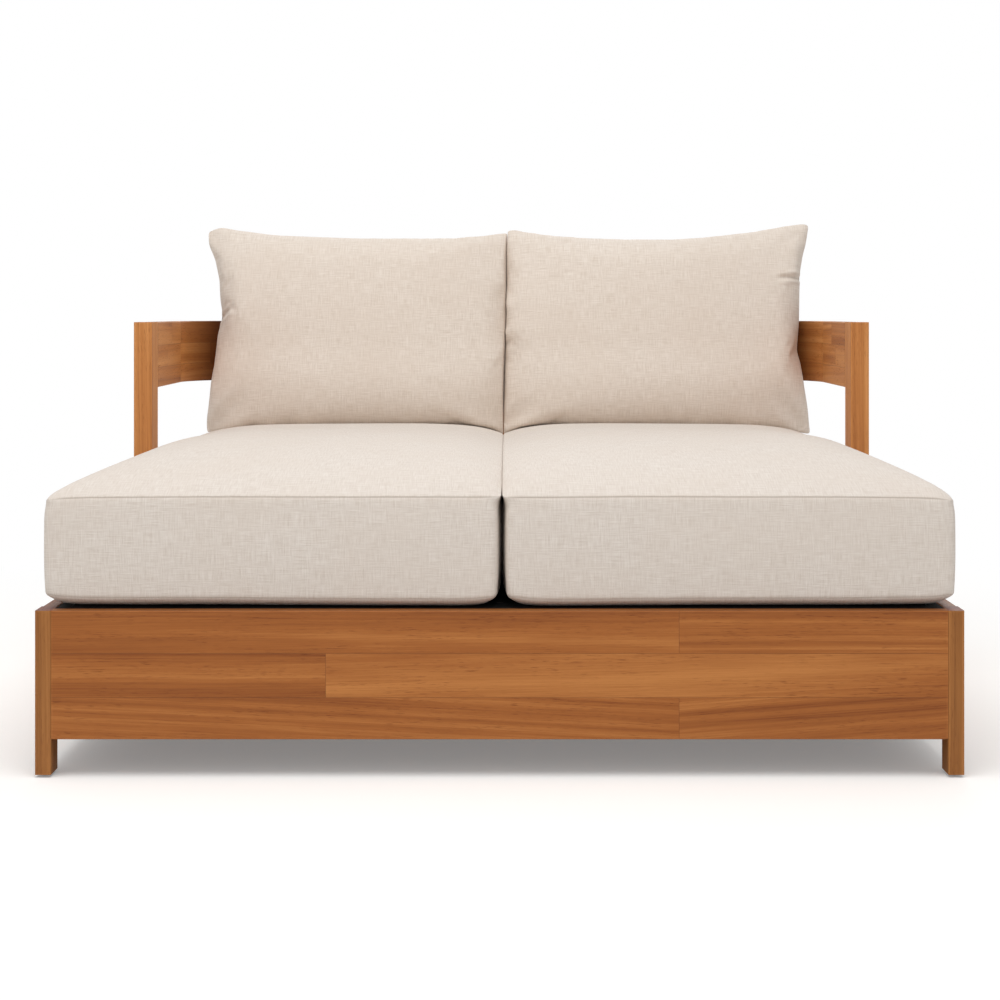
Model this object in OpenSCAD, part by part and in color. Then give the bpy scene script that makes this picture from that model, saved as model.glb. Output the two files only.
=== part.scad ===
// An outdoor daybed: a boxed wooden base on corner legs, two arm posts and rear
// uprights that carry a rail bent round the back, two box seat cushions and two
// knife-edge back pillows.
// Frame: the origin is on the floor under the middle, the front faces -Y, +Z is up.

/* [Overall] */
// Width over the outer faces of the base
overall_w = 1450; // [1300:10:1700]
// Depth from the front legs to the rear uprights
overall_d = 1300; // [1200:10:1500]
// Height of the deck above the floor
deck_z = 260; // [250:5:320]

/* [Base boards] */
// Thickness of a base board
panel_t = 24; // [20:1:28]
// Height of a base board
panel_h = 201; // [190:1:215]
// Step from a leg's outer face in to a board's face
panel_step = 1; // [0.5:0.5:1]
// Radius of the eased edges of the boards
ease_r = 2; // [1:0.5:3]

/* [Legs and feet] */
// Width of a corner leg
leg_w = 25; // [24:1:32]
// Depth of a front corner leg
leg_d = 46; // [42:1:60]
// Side of a square centre leg
centre_leg_w = 45; // [35:1:60]
// Distance of each centre leg from the middle of the deck
centre_leg_y = 210; // [120:5:350]
// Diameter of a foot glide
glide_d = 18; // [14:1:22]
// Thickness of a foot glide
glide_h = 4; // [3:0.5:6]
// Diameter of a glide's nail
glide_nail_d = 3; // [2:0.5:4]
// Length of a glide's nail
glide_nail_l = 16; // [10:1:20]

/* [Arms and back] */
// Width of an arm post
post_w = 36; // [32:1:44]
// Depth of an arm post
post_d = 64; // [54:1:80]
// Share of the depth that is in front of an arm post
post_in_share = 0.59; // [0.55:0.01:0.61]
// Height of the arms and back above the floor
arm_z = 705; // [660:5:760]
// Height of the rail's boards
rail_h = 131; // [110:1:150]
// Thickness of the rail's boards
rail_t = 28; // [24:1:32]
// Inner radius of the rail's bent corners
bend_r = 150; // [110:5:180]
// Width of a rear upright
upright_w = 60; // [50:1:80]
// Thickness of a rear upright
upright_t = 32; // [28:1:36]
// Share of the straight rail's half length at which the outer uprights stand
upright_out_share = 0.835; // [0.6:0.005:0.9]

/* [Deck] */
// Thickness of the deck cloth
cloth_t = 2; // [1:0.5:3]
// Gap between the deck cloth and the boards
cloth_gap = 0.5; // [0.5:0.5:2]
// Thickness of a slat
slat_t = 18; // [15:1:22]
// Width of a slat
slat_w = 100; // [70:5:105]
// Gap from the first and last slat to the boards
slat_end_gap = 8; // [4:1:20]
// Gap from the slats' ends to the arm posts
slat_side_gap = 2; // [1:0.5:4]
// Width of a ledger
ledger_w = 40; // [36:1:42]
// Height of a ledger
ledger_h = 50; // [46:1:60]
// Width of the centre beam
beam_w = 40; // [36:1:60]
// Height of the centre beam
beam_h = 70; // [60:1:80]
// Width of a beam cleat
cleat_w = 80; // [70:1:100]
// Thickness of a beam cleat
cleat_t = 30; // [28:1:32]
// Height of a beam cleat
cleat_h = 40; // [30:1:45]
// Side of a square corner block
block_w = 40; // [36:1:42]

/* [Fasteners] */
// Clearance between a fastener and its hole
fit = 0.1; // [0.05:0.05:0.3]
// Clearance past a fastener's blind end
blind_gap = 1; // [0.5:0.5:2]
// Diameter of the bolts
bolt_d = 6; // [5:0.5:7]
// Length of a leg bolt under its head
leg_bolt_l = 92; // [90:1:96]
// Length of an upright bolt under its head
upright_bolt_l = 48; // [44:1:50]
// Diameter of a bolt's flat head
bolt_head_d = 15; // [12:0.5:17]
// Thickness of a bolt's flat head
bolt_head_t = 2.5; // [2:0.5:3]
// Size across the corners of a bolt's hexagon socket
socket_d = 4.6; // [4:0.2:5]
// Diameter of a barrel nut
barrel_d = 10; // [9:0.5:12]
// Length of a barrel nut
barrel_l = 16; // [14:0.5:18]
// Distance from a board's end to its barrel nut
barrel_in = 58; // [52:1:60]
// Outer diameter of a sleeve nut
sleeve_d = 9; // [8.5:0.5:10]
// Length of a sleeve nut under its head
sleeve_l = 30; // [26:1:32]
// Distance from a base board's long edges to its bolts
bolt_edge = 50; // [48:1:60]
// Diameter of a dowel
dowel_d = 8; // [6:1:8]
// Length of a dowel
dowel_l = 40; // [30:2:40]
// Distance from a board's long edges to its dowels
dowel_edge = 30; // [25:1:31]
// Diameter of a wood screw
screw_d = 5; // [4:0.5:5]
// Length of a wood screw
screw_l = 50; // [46:1:50]
// Diameter of a wood screw's head
screw_head_d = 9.5; // [8:0.5:10]
// Height of the ledger screws above the ledger's underside
ledger_screw_up = 9; // [7:1:10]

/* [Seat cushions] */
// Gap between the deck and the cushions
soft_gap = 0.3; // [0.3:0.1:0.6]
// Gap between the two seat cushions
seat_gap = 8; // [4:1:16]
// Step from the legs' front faces in to the cushions
seat_front_in = 12; // [4:1:30]
// Step from the base's side in to a cushion's side
seat_side_in = 14; // [8:1:30]
// Gap between a cushion and the arm post's inner face
seat_post_gap = 1; // [0.5:0.5:4]
// Gap between a cushion and the rail's inner face
seat_back_gap = 10; // [9:1:30]
// Height of the boxing between the two seams
boxing_h = 161; // [120:1:170]
// How far the lower seam sits in from the bulge of the boxing
seam_in = 9; // [6:1:16]
// How far the upper seam sits in from the bulge of the boxing
top_seam_in = 2; // [1:0.5:8]
// How deep the sides draw in between the corners
seat_draw = 4; // [2:1:8]
// Radius of a cushion's corners in plan
seat_corner_r = 16; // [12:1:40]
// Height of the rounding under the lower seam
under_h = 15; // [10:1:24]
// Width of the rounding under the lower seam
under_w = 40; // [25:1:60]
// Rise of the crown above the upper seam
seat_crown = 60; // [30:1:70]
// Length of the shoulder where a side narrows before the arm post
shoulder_l = 60; // [30:5:100]
// Distance from a side's bulge in to the foam block
foam_in = 36; // [30:1:60]
// Height of the foam block
foam_h = 140; // [100:1:145]
// Clearance round the foam block
foam_fit = 0.5; // [0.3:0.1:1]

/* [Zips] */
// Length of a zip
zip_l = 560; // [400:10:580]
// Height of the zip's tape
zip_tape_h = 28; // [20:1:36]
// Thickness of the zip's tape
zip_tape_t = 1.2; // [0.8:0.2:2]
// Height of the zip's chain of teeth
zip_chain_h = 6; // [4:0.5:8]
// Thickness of the zip's chain of teeth
zip_chain_t = 2; // [1.5:0.5:3]
// Height of the opening that the zip closes
zip_open_h = 8; // [5:1:12]
// Depth of the flat that the zip lies on
zip_flat = 3; // [2:0.5:4]
// Length of a slider along the zip
slider_l = 14; // [10:1:20]
// Height of a slider
slider_h = 12; // [10:1:16]
// Thickness of a slider
slider_t = 4; // [4:0.5:5]
// Length of a pull tab
pull_l = 26; // [18:1:36]
// Width of a pull tab
pull_w = 7; // [5:0.5:10]
// Thickness of a pull tab
pull_t = 1.5; // [1:0.5:2]

/* [Back pillows] */
// Gap from the rail's inner face to the pillows' corners
pillow_side_gap = 34; // [30:1:90]
// Height of a pillow between its corners
pillow_h = 446; // [380:2:460]
// Thickness of a pillow's middle
pillow_t = 165; // [120:1:180]
// Gap between the two pillows
pillow_gap = 6; // [1:1:10]
// How far the pillows sit off the middle
pillow_shift = 12; // [0:1:14]
// Angle at which the pillows lean back
pillow_lean = 8; // [5:1:10]
// Height of the pillows' middle above the deck
pillow_up = 429; // [420:1:450]
// Distance from the rail's inner face to the pillows' middle
pillow_in = 63; // [55:1:75]

/* [Hidden] */
$fn = 48;
// Names of the sub-parts

// How far a cutter runs past the face that it opens
cut = 1;
// Number of slats, one for each slat node
slat_n = 10;

// Planes of the base
side_x = overall_w / 2;
front_y = -overall_d / 2;
back_y = overall_d / 2;
panel_z = deck_z - panel_h;
side_mid_x = side_x - panel_step - panel_t / 2;
side_in_x = side_x - panel_step - panel_t;
end_x = side_x - leg_w;
front_mid_y = front_y + panel_step + panel_t / 2;
front_in_y = front_y + panel_step + panel_t;
back_mid_y = back_y - upright_t - panel_t / 2;
back_in_y = back_y - upright_t - panel_t;
rear_leg_d = upright_t + panel_t;

// Planes of the arms and back
post_x = side_x - post_w;
post_y = front_y + overall_d * post_in_share;
post_back_y = post_y + post_d;
rail_y = back_y - upright_t - rail_t;
rail_z = arm_z - rail_h;
bend_x = post_x - bend_r;
bend_y = rail_y - bend_r;
rail_mid_x = post_x + rail_t / 2;
rail_mid_y = rail_y + rail_t / 2;
upright_xs = [-bend_x * upright_out_share, 0, bend_x * upright_out_share];

// Planes of the deck
slat_z = deck_z - cloth_t - slat_t;
slat_x = post_x - slat_side_gap;
slat_run = back_in_y - front_in_y - 2 * slat_end_gap - slat_w;
ledger_x = side_in_x - ledger_w;
ledger_z = slat_z - ledger_h;
beam_z = slat_z - beam_h;
// Share of a block's side left clear above and below it
block_gap_share = 0.3;
block_z = panel_z + block_w * block_gap_share;
block_top = ledger_z - block_w * block_gap_share / 2;

// Rows of fasteners
bolt_rows = [panel_z + bolt_edge, deck_z - bolt_edge];
dowel_rows = [panel_z + dowel_edge, deck_z - dowel_edge];
mid_row = [panel_z + panel_h / 2];
rail_rows = [rail_z + dowel_edge, arm_z - dowel_edge];

// A rounded quarter of an outline
function arc(centre, r, from, to, steps) =
    [for (i = [0:steps]) centre + r * [cos(from + (to - from) * i / steps),
                                       sin(from + (to - from) * i / steps)]];

// The section of a board with eased edges
module eased(w, h, r = ease_r) {
    steps = 3;
    polygon(concat(
        arc([r, r], r, 180, 270, steps),
        arc([w - r, r], r, 270, 360, steps),
        arc([w - r, h - r], r, 0, 90, steps),
        arc([r, h - r], r, 90, 180, steps)));
}

// A board whose grain runs along axis 0, 1 or 2, from its low corner
module board(low, size, along, r = ease_r) {
    translate(low) {
        if (along == 0) rotate([90, 0, 90]) linear_extrude(size.x) eased(size.y, size.z, r);
        if (along == 1) translate([0, size.y, 0]) rotate([90, 0, 0])
            linear_extrude(size.y) eased(size.x, size.z, r);
        if (along == 2) linear_extrude(size.z) eased(size.x, size.y, r);
    }
}

// Children set at each place, where a place is a point and a turn
module at(places) {
    for (place = places) translate(place[0]) rotate(place[1]) children();
}

// Turns that point local +Z along an axis of the part
to_right = [0, 90, 0];
to_left = [0, -90, 0];
to_back = [-90, 0, 0];
to_front = [90, 0, 0];
to_floor = [180, 0, 0];

function toward_middle(side) = side < 0 ? to_right : to_left;
function outward(side) = side < 0 ? to_left : to_right;

// Places of the leg bolts at one corner
function leg_bolt_places(side, y) =
    [for (z = bolt_rows) [[side * side_x, y, z], toward_middle(side)]];

// Places of the barrel nuts at one corner, from the nut's middle
function barrel_places(side, y) =
    [for (z = bolt_rows) [[side * (end_x - barrel_in), y, z], y < 0 ? to_back : to_front]];

// Places of the upright bolts and the sleeve nuts
function upright_bolt_places(x) = [for (z = bolt_rows) [[x, back_y, z], to_front]];
function sleeve_places(x) = [for (z = bolt_rows) [[x, back_in_y, z], to_back]];

// Places of the dowels, from each dowel's middle
function end_dowels(side, y) = [for (z = mid_row) [[side * end_x, y, z], to_right]];
function side_dowels(side, y) = [for (z = dowel_rows) [[side * side_mid_x, y, z], to_back]];
function arm_dowels(side, y) = [for (z = rail_rows) [[side * rail_mid_x, y, z], to_back]];
function bend_dowels(side) = [for (z = rail_rows) [[side * bend_x, rail_mid_y, z], to_right]];
function leg_dowels(y) = [[[0, y, beam_z], to_floor]];
side_joints = [front_y + leg_d, post_y, post_back_y, back_y - rear_leg_d];

// Places of the wood screws, from the middle of each head's face
slat_screw_x = (ledger_x + slat_x) / 2;
function slat_y(i) = front_in_y + slat_end_gap + slat_w / 2 + slat_run * i / (slat_n - 1);
// A slat beside an arm post is screwed down where a ledger carries it
function side_screw_y(i) =
    let(y = slat_y(i), low = y - slat_w / 2, high = y + slat_w / 2)
    y < post_y - screw_head_d || y > post_back_y + screw_head_d ? y
        : high - post_back_y > post_y - low ? (max(low, post_back_y) + high) / 2
        : (low + min(high, post_y)) / 2;
function slat_screws(i) =
    [for (x = [-slat_screw_x, 0, slat_screw_x])
        [[x, x == 0 ? slat_y(i) : side_screw_y(i), slat_z + slat_t], to_floor]];
all_slat_screws = [for (i = [0:slat_n - 1]) each slat_screws(i)];
ledger_screw_shares = [1 / 6, 1 / 2, 5 / 6];
function ledger_span(rear) = rear ? [post_back_y, back_in_y] : [front_in_y, post_y];
function ledger_screws(side, rear) =
    [for (share = ledger_screw_shares)
        [[side * ledger_x,
          ledger_span(rear)[0] + share * (ledger_span(rear)[1] - ledger_span(rear)[0]),
          ledger_z + ledger_screw_up], outward(side)]];
block_front_shares = [0.12, 0.52];
block_side_shares = [0.32, 0.76];
function block_front_screws(side, rear) =
    [for (share = block_front_shares)
        [[side * (side_in_x - block_w / 2),
          rear ? back_in_y - block_w : front_in_y + block_w,
          block_z + share * (block_top - block_z)], rear ? to_back : to_front]];
function block_side_screws(side, rear) =
    [for (share = block_side_shares)
        [[side * (side_in_x - block_w),
          rear ? back_in_y - block_w / 2 : (front_y + leg_d + front_in_y + block_w) / 2,
          block_z + share * (block_top - block_z)], outward(side)]];
function cleat_screws(rear) =
    [for (side = [-1, 1])
        [[side * cleat_w / 4, rear ? back_in_y - cleat_t : front_in_y + cleat_t,
          beam_z - cleat_h / 2], rear ? to_back : to_front]];
function rail_screws(x) = [for (z = rail_rows) [[x, back_y, z], to_front]];

// Fasteners, each with a clearance that turns it into its own hole

module flat_bolt(length, gap = 0, over = 0) {
    translate([0, 0, -over]) cylinder(d = bolt_head_d + 2 * gap, h = bolt_head_t + over + gap);
    cylinder(d = bolt_d + 2 * gap, h = bolt_head_t + length + (gap > 0 ? blind_gap : 0));
}

module socketed_bolt(length) {
    difference() {
        flat_bolt(length);
        translate([0, 0, -cut]) cylinder(d = socket_d, h = bolt_head_t / 2 + cut, $fn = 6);
    }
}

module barrel_nut() {
    difference() {
        translate([0, 0, -barrel_l / 2]) cylinder(d = barrel_d, h = barrel_l);
        rotate(to_right) translate([0, 0, -barrel_d])
            cylinder(d = bolt_d + 2 * fit, h = 2 * barrel_d);
    }
}

module barrel_hole() {
    translate([0, 0, -barrel_l / 2 - fit])
        cylinder(d = barrel_d + 2 * fit, h = barrel_l / 2 + fit + panel_t / 2 + cut);
}

module sleeve_nut() {
    difference() {
        union() {
            cylinder(d = bolt_head_d, h = bolt_head_t);
            cylinder(d = sleeve_d, h = sleeve_l);
        }
        translate([0, 0, -cut]) cylinder(d = socket_d, h = bolt_head_t / 2 + cut, $fn = 6);
        translate([0, 0, bolt_head_t]) cylinder(d = bolt_d + 2 * fit, h = sleeve_l);
    }
}

module sleeve_hole() {
    translate([0, 0, -cut]) cylinder(d = bolt_head_d + 2 * fit, h = bolt_head_t + cut + fit);
    translate([0, 0, -cut]) cylinder(d = sleeve_d + 2 * fit, h = sleeve_l + cut + fit);
}

module dowel(gap = 0) {
    length = dowel_l + (gap > 0 ? 2 * blind_gap : 0);
    translate([0, 0, -length / 2]) cylinder(d = dowel_d + 2 * gap, h = length);
}

module wood_screw(gap = 0) {
    r = screw_d / 2 + gap;
    head_r = screw_head_d / 2 + gap;
    length = screw_l + (gap > 0 ? blind_gap : 0);
    tip_l = 1.6 * screw_d;
    profile = [[0, 0], [head_r, 0], [r, head_r - r], [r, length - tip_l], [0, length]];
    rotate_extrude() polygon(profile);
}

// Base boards

module front_panel() {
    color("#a5673a") difference() {
        board([-end_x, front_y + panel_step, panel_z], [2 * end_x, panel_t, panel_h], 0);
        for (side = [-1, 1]) {
            at(leg_bolt_places(side, front_mid_y)) flat_bolt(leg_bolt_l, fit);
            at(barrel_places(side, front_mid_y)) barrel_hole();
            at(end_dowels(side, front_mid_y)) dowel(fit);
            at(block_front_screws(side, false)) wood_screw(fit);
        }
        at(cleat_screws(false)) wood_screw(fit);
    }
}

module back_panel() {
    color("#9c6036") difference() {
        board([-end_x, back_in_y, panel_z], [2 * end_x, panel_t, panel_h], 0);
        for (side = [-1, 1]) {
            at(leg_bolt_places(side, back_mid_y)) flat_bolt(leg_bolt_l, fit);
            at(barrel_places(side, back_mid_y)) barrel_hole();
            at(end_dowels(side, back_mid_y)) dowel(fit);
            at(block_front_screws(side, true)) wood_screw(fit);
        }
        for (x = upright_xs) at(sleeve_places(x)) sleeve_hole();
        at(cleat_screws(true)) wood_screw(fit);
    }
}

module side_panel(side, rear) {
    y = rear ? post_back_y : front_y + leg_d;
    length = rear ? back_y - rear_leg_d - post_back_y : post_y - front_y - leg_d;
    x = side < 0 ? -side_x + panel_step : side_in_x;
    joints = rear ? [side_joints[2], side_joints[3]] : [side_joints[0], side_joints[1]];
    color("#a2643a") difference() {
        board([x, y, panel_z], [panel_t, length, panel_h], 1);
        for (joint = joints) at(side_dowels(side, joint)) dowel(fit);
        at(ledger_screws(side, rear)) wood_screw(fit);
        at(block_side_screws(side, rear)) wood_screw(fit);
    }
}

// Legs and posts

module corner_leg(side, rear) {
    depth = rear ? rear_leg_d : leg_d;
    x = side < 0 ? -side_x : end_x;
    y = rear ? back_y - depth : front_y;
    mid_y = rear ? back_mid_y : front_mid_y;
    joint = rear ? side_joints[3] : side_joints[0];
    color("#9c6738") difference() {
        board([x, y, glide_h], [leg_w, depth, deck_z - glide_h], 2);
        at(leg_bolt_places(side, mid_y)) flat_bolt(leg_bolt_l, fit, cut);
        at(end_dowels(side, mid_y)) dowel(fit);
        at(side_dowels(side, joint)) dowel(fit);
        at([[[side * (side_x - leg_w / 2), y + depth / 2, 0], [0, 0, 0]]]) glide_hole();
    }
}

module arm_post(side) {
    x = side < 0 ? -side_x : post_x;
    color("#b9804c") difference() {
        board([x, post_y, glide_h], [post_w, post_d, arm_z - glide_h], 2);
        at(side_dowels(side, post_y)) dowel(fit);
        at(side_dowels(side, post_back_y)) dowel(fit);
        at(arm_dowels(side, post_back_y)) dowel(fit);
        at([[[side * (side_x - post_w / 2), post_y + post_d / 2, 0], [0, 0, 0]]])
            glide_hole();
    }
}

module centre_leg(y) {
    color("#9c6738") difference() {
        board([-centre_leg_w / 2, y - centre_leg_w / 2, glide_h],
              [centre_leg_w, centre_leg_w, beam_z - glide_h], 2);
        at(leg_dowels(y)) dowel(fit);
        at([[[0, y, 0], [0, 0, 0]]]) glide_hole();
    }
}

// Rail and uprights

module arm_rail(side) {
    x = side < 0 ? -post_x - rail_t : post_x;
    color("#a56c42") difference() {
        board([x, post_back_y, rail_z], [rail_t, bend_y - post_back_y, rail_h], 1);
        at(arm_dowels(side, post_back_y)) dowel(fit);
        at(arm_dowels(side, bend_y)) dowel(fit);
    }
}

module corner_bend(side) {
    color("#a56c42") difference() {
        translate([side * bend_x, bend_y, rail_z]) rotate([0, 0, side < 0 ? 90 : 0])
            rotate_extrude(angle = 90, $fn = 96)
                translate([bend_r, 0]) eased(rail_t, rail_h);
        at(arm_dowels(side, bend_y)) dowel(fit);
        at(bend_dowels(side)) dowel(fit);
    }
}

module back_rail() {
    color("#a56c42") difference() {
        board([-bend_x, rail_y, rail_z], [2 * bend_x, rail_t, rail_h], 0);
        for (side = [-1, 1]) at(bend_dowels(side)) dowel(fit);
        for (x = upright_xs) at(rail_screws(x)) wood_screw(fit);
    }
}

module upright(x) {
    color("#b07846") difference() {
        board([x - upright_w / 2, back_y - upright_t, panel_z],
              [upright_w, upright_t, arm_z - panel_z], 2);
        at(upright_bolt_places(x)) flat_bolt(upright_bolt_l, fit, cut);
        at(sleeve_places(x)) sleeve_hole();
        at(rail_screws(x)) wood_screw(fit);
    }
}

// Deck

module centre_beam() {
    color("#b98a58") difference() {
        board([-beam_w / 2, front_in_y, beam_z], [beam_w, back_in_y - front_in_y, beam_h], 1);
        for (y = [-centre_leg_y, centre_leg_y]) at(leg_dowels(y)) dowel(fit);
        for (i = [0:slat_n - 1]) at(slat_screws(i)) wood_screw(fit);
    }
}

module beam_cleats() {
    color("#b98a58") for (rear = [false, true]) difference() {
        board([-cleat_w / 2, rear ? back_in_y - cleat_t : front_in_y, beam_z - cleat_h],
              [cleat_w, cleat_t, cleat_h], 0);
        at(cleat_screws(rear)) wood_screw(fit);
    }
}

module ledger(side, rear) {
    span = ledger_span(rear);
    color("#b98a58") difference() {
        board([side < 0 ? -side_in_x : ledger_x, span[0], ledger_z],
              [ledger_w, span[1] - span[0], ledger_h], 1);
        at(ledger_screws(side, rear)) wood_screw(fit);
        at([for (place = all_slat_screws)
                if (place[0].y > span[0] && place[0].y < span[1]) place]) wood_screw(fit);
    }
}

module slat(i) {
    color("#c29a66") difference() {
        board([-slat_x, slat_y(i) - slat_w / 2, slat_z], [2 * slat_x, slat_w, slat_t], 0);
        at(slat_screws(i)) wood_screw(fit);
    }
}

module deck_cloth() {
    x = side_in_x - cloth_gap;
    notch_x = post_x - cloth_gap;
    y0 = front_in_y + cloth_gap;
    y1 = post_y - cloth_gap;
    y2 = post_back_y + cloth_gap;
    y3 = back_in_y - cloth_gap;
    half = [[x, y0], [x, y1], [notch_x, y1], [notch_x, y2], [x, y2], [x, y3]];
    other = [for (i = [len(half) - 1:-1:0]) [-half[i].x, half[i].y]];
    color("#141614") translate([0, 0, deck_z - cloth_t])
        linear_extrude(cloth_t) polygon(concat(half, other));
}

module corner_blocks() {
    color("#b98a58") for (side = [-1, 1], rear = [false, true]) difference() {
        board([side < 0 ? -side_in_x : side_in_x - block_w,
               rear ? back_in_y - block_w : front_in_y, block_z],
              [block_w, block_w, block_top - block_z], 2);
        at(block_front_screws(side, rear)) wood_screw(fit);
        at(block_side_screws(side, rear)) wood_screw(fit);
    }
}

// Fasteners in place

module leg_bolts() {
    color("#8c8c8c") for (side = [-1, 1], y = [front_mid_y, back_mid_y])
        at(leg_bolt_places(side, y)) socketed_bolt(leg_bolt_l);
}

module barrel_nuts() {
    color("#a8a59c") for (side = [-1, 1], y = [front_mid_y, back_mid_y])
        at(barrel_places(side, y)) barrel_nut();
}

module upright_bolts() {
    color("#8c8c8c") for (x = upright_xs)
        at(upright_bolt_places(x)) socketed_bolt(upright_bolt_l);
}

module sleeve_nuts() {
    color("#a8a59c") for (x = upright_xs) at(sleeve_places(x)) sleeve_nut();
}

module dowels() {
    color("#d8b884") {
        for (side = [-1, 1]) {
            at(end_dowels(side, front_mid_y)) dowel();
            at(end_dowels(side, back_mid_y)) dowel();
            for (joint = side_joints) at(side_dowels(side, joint)) dowel();
            at(arm_dowels(side, post_back_y)) dowel();
            at(arm_dowels(side, bend_y)) dowel();
            at(bend_dowels(side)) dowel();
        }
        for (y = [-centre_leg_y, centre_leg_y]) at(leg_dowels(y)) dowel();
    }
}

module wood_screws() {
    color("#c9b27a") {
        at(all_slat_screws) wood_screw();
        for (side = [-1, 1], rear = [false, true]) {
            at(ledger_screws(side, rear)) wood_screw();
            at(block_front_screws(side, rear)) wood_screw();
            at(block_side_screws(side, rear)) wood_screw();
        }
        for (rear = [false, true]) at(cleat_screws(rear)) wood_screw();
        for (x = upright_xs) at(rail_screws(x)) wood_screw();
    }
}

// Feet

foot_places = concat(
    [for (side = [-1, 1]) [side * (side_x - leg_w / 2), front_y + leg_d / 2, 0]],
    [for (side = [-1, 1]) [side * (side_x - leg_w / 2), back_y - rear_leg_d / 2, 0]],
    [for (side = [-1, 1]) [side * (side_x - post_w / 2), post_y + post_d / 2, 0]],
    [for (y = [-centre_leg_y, centre_leg_y]) [0, y, 0]]);

module glide_hole() {
    cylinder(d = glide_nail_d + 2 * fit, h = glide_h + glide_nail_l + blind_gap);
}

module foot_glides() {
    chamfer = glide_h / 4;
    r = glide_d / 2;
    nail_r = glide_nail_d / 2;
    top = glide_h + glide_nail_l;
    profile = [[0, 0], [r - chamfer, 0], [r, chamfer], [r, glide_h],
               [nail_r, glide_h], [nail_r, top - nail_r], [0, top]];
    color("#201f1e") for (place = foot_places) translate(place)
        rotate_extrude() polygon(profile);
}

// Seat cushions, worked out on the right-hand side

seat_x = seat_gap / 2;
seat_wide_x = side_x - seat_side_in;
seat_narrow_x = post_x - seat_post_gap;
seat_y = front_y + seat_front_in;
seat_back_y = rail_y - seat_back_gap;
seat_z = deck_z + soft_gap;
seat_seam_z = seat_z + under_h + boxing_h;
seat_mid = [(seat_x + seat_wide_x) / 2, (seat_y + seat_back_y) / 2];
seat_half = [(seat_wide_x - seat_x) / 2, (seat_back_y - seat_y) / 2];

function smooth(t) = let(s = min(1, max(0, t))) s * s * (3 - 2 * s);

// The outer side's place at a depth: wide before the arm post, narrow from there on
shoulder_gap_share = 0.25;
shoulder_end_y = post_y - shoulder_l * shoulder_gap_share;
function seat_side_x(y) =
    seat_wide_x + (seat_narrow_x - seat_wide_x)
        * smooth((y - shoulder_end_y + shoulder_l) / shoulder_l);

// How far a side draws in at a share of its length
function drawn(share) = seat_draw * sin(180 * share);

seat_front_steps = 6;
seat_inner_steps = 8;
corner_steps = 3;
r_corner = seat_corner_r;
side_run = seat_back_y - seat_y - 2 * r_corner;
side_start_y = seat_y + r_corner;
shoulder_y = shoulder_end_y - shoulder_l;
// Stations along the outer side: before, along and behind the shoulder
side_ys = concat(
    [for (i = [1:4]) side_start_y + (shoulder_y - side_start_y) * i / 4],
    [for (i = [1:3]) shoulder_y + shoulder_l * i / 3],
    [for (i = [1:4]) shoulder_end_y + (side_start_y + side_run - shoulder_end_y) * i / 5]);

// Outline of the cushion at its widest, anticlockwise from the front inner corner
seat_outline = concat(
    arc([seat_x + r_corner, seat_y + r_corner], r_corner, 180, 270, corner_steps),
    [for (i = [1:seat_front_steps - 1]) let(share = i / seat_front_steps)
        [seat_x + r_corner + share * (seat_wide_x - seat_x - 2 * r_corner),
         seat_y + drawn(share)]],
    arc([seat_wide_x - r_corner, seat_y + r_corner], r_corner, 270, 360, corner_steps),
    [for (y = side_ys) [seat_side_x(y) - drawn((y - side_start_y) / side_run) / 2, y]],
    arc([seat_narrow_x - r_corner, seat_back_y - r_corner], r_corner, 0, 90, corner_steps),
    [for (i = [1:seat_front_steps - 1]) let(share = i / seat_front_steps)
        [seat_narrow_x - r_corner - share * (seat_narrow_x - seat_x - 2 * r_corner),
         seat_back_y]],
    arc([seat_x + r_corner, seat_back_y - r_corner], r_corner, 90, 180, corner_steps),
    [for (i = [1:seat_inner_steps - 1]) let(share = i / seat_inner_steps)
        [seat_x + drawn(share), seat_back_y - r_corner - share * side_run]]);

// Height of the crown above the seam at a distance in from the seam
crown_power = 4;
function crown_at(inset) =
    seat_crown * (1 - pow(1 - min(1, max(0, inset) / seat_half.x), crown_power));

// Rings from the flat underside up to the crown, each an inset and a height
under_shares = [[1, 0], [0.35, 0.3]];
boxing_low_shares = [[1, 0], [0.35, 0.18], [0, 0.5]];
boxing_high_shares = [[0.35, 0.82], [1, 1]];
crown_shares = [0.04, 0.1, 0.2, 0.36, 0.56, 0.8];
seat_rings = concat(
    [for (s = under_shares) [seam_in + s[0] * under_w, s[1] * under_h]],
    [for (s = boxing_low_shares) [seam_in * s[0], under_h + boxing_h * s[1]]],
    [for (s = boxing_high_shares) [top_seam_in * s[0], under_h + boxing_h * s[1]]],
    [for (s = crown_shares)
        [top_seam_in + s * seat_half.x, under_h + boxing_h + crown_at(s * seat_half.x)]]);

function inset_point(p, inset) =
    [seat_mid.x + (p.x - seat_mid.x) * (1 - inset / seat_half.x),
     seat_mid.y + (p.y - seat_mid.y) * (1 - inset / seat_half.y)];

// A closed form skinned over rings of equal length, capped at two middle points
module skin(rings, low, high) {
    n = len(rings[0]);
    count = len(rings);
    points = concat([for (ring = rings) each ring], [low, high]);
    walls = [for (k = [0:count - 2], i = [0:n - 1]) let(j = (i + 1) % n) each
        [[k * n + i, (k + 1) * n + i, (k + 1) * n + j],
         [k * n + i, (k + 1) * n + j, k * n + j]]];
    floor_faces = [for (i = [0:n - 1]) [count * n, i, (i + 1) % n]];
    top_faces = [for (i = [0:n - 1])
        [count * n + 1, (count - 1) * n + (i + 1) % n, (count - 1) * n + i]];
    polyhedron(points, concat(walls, floor_faces, top_faces));
}

module seat_form() {
    rings = [for (ring = seat_rings)
        [for (p = seat_outline) let(q = inset_point(p, ring[0]))
            [q.x, q.y, seat_z + ring[1]]]];
    skin(rings, [seat_mid.x, seat_mid.y, seat_z],
         [seat_mid.x, seat_mid.y, seat_seam_z + seat_crown]);
}

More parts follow.
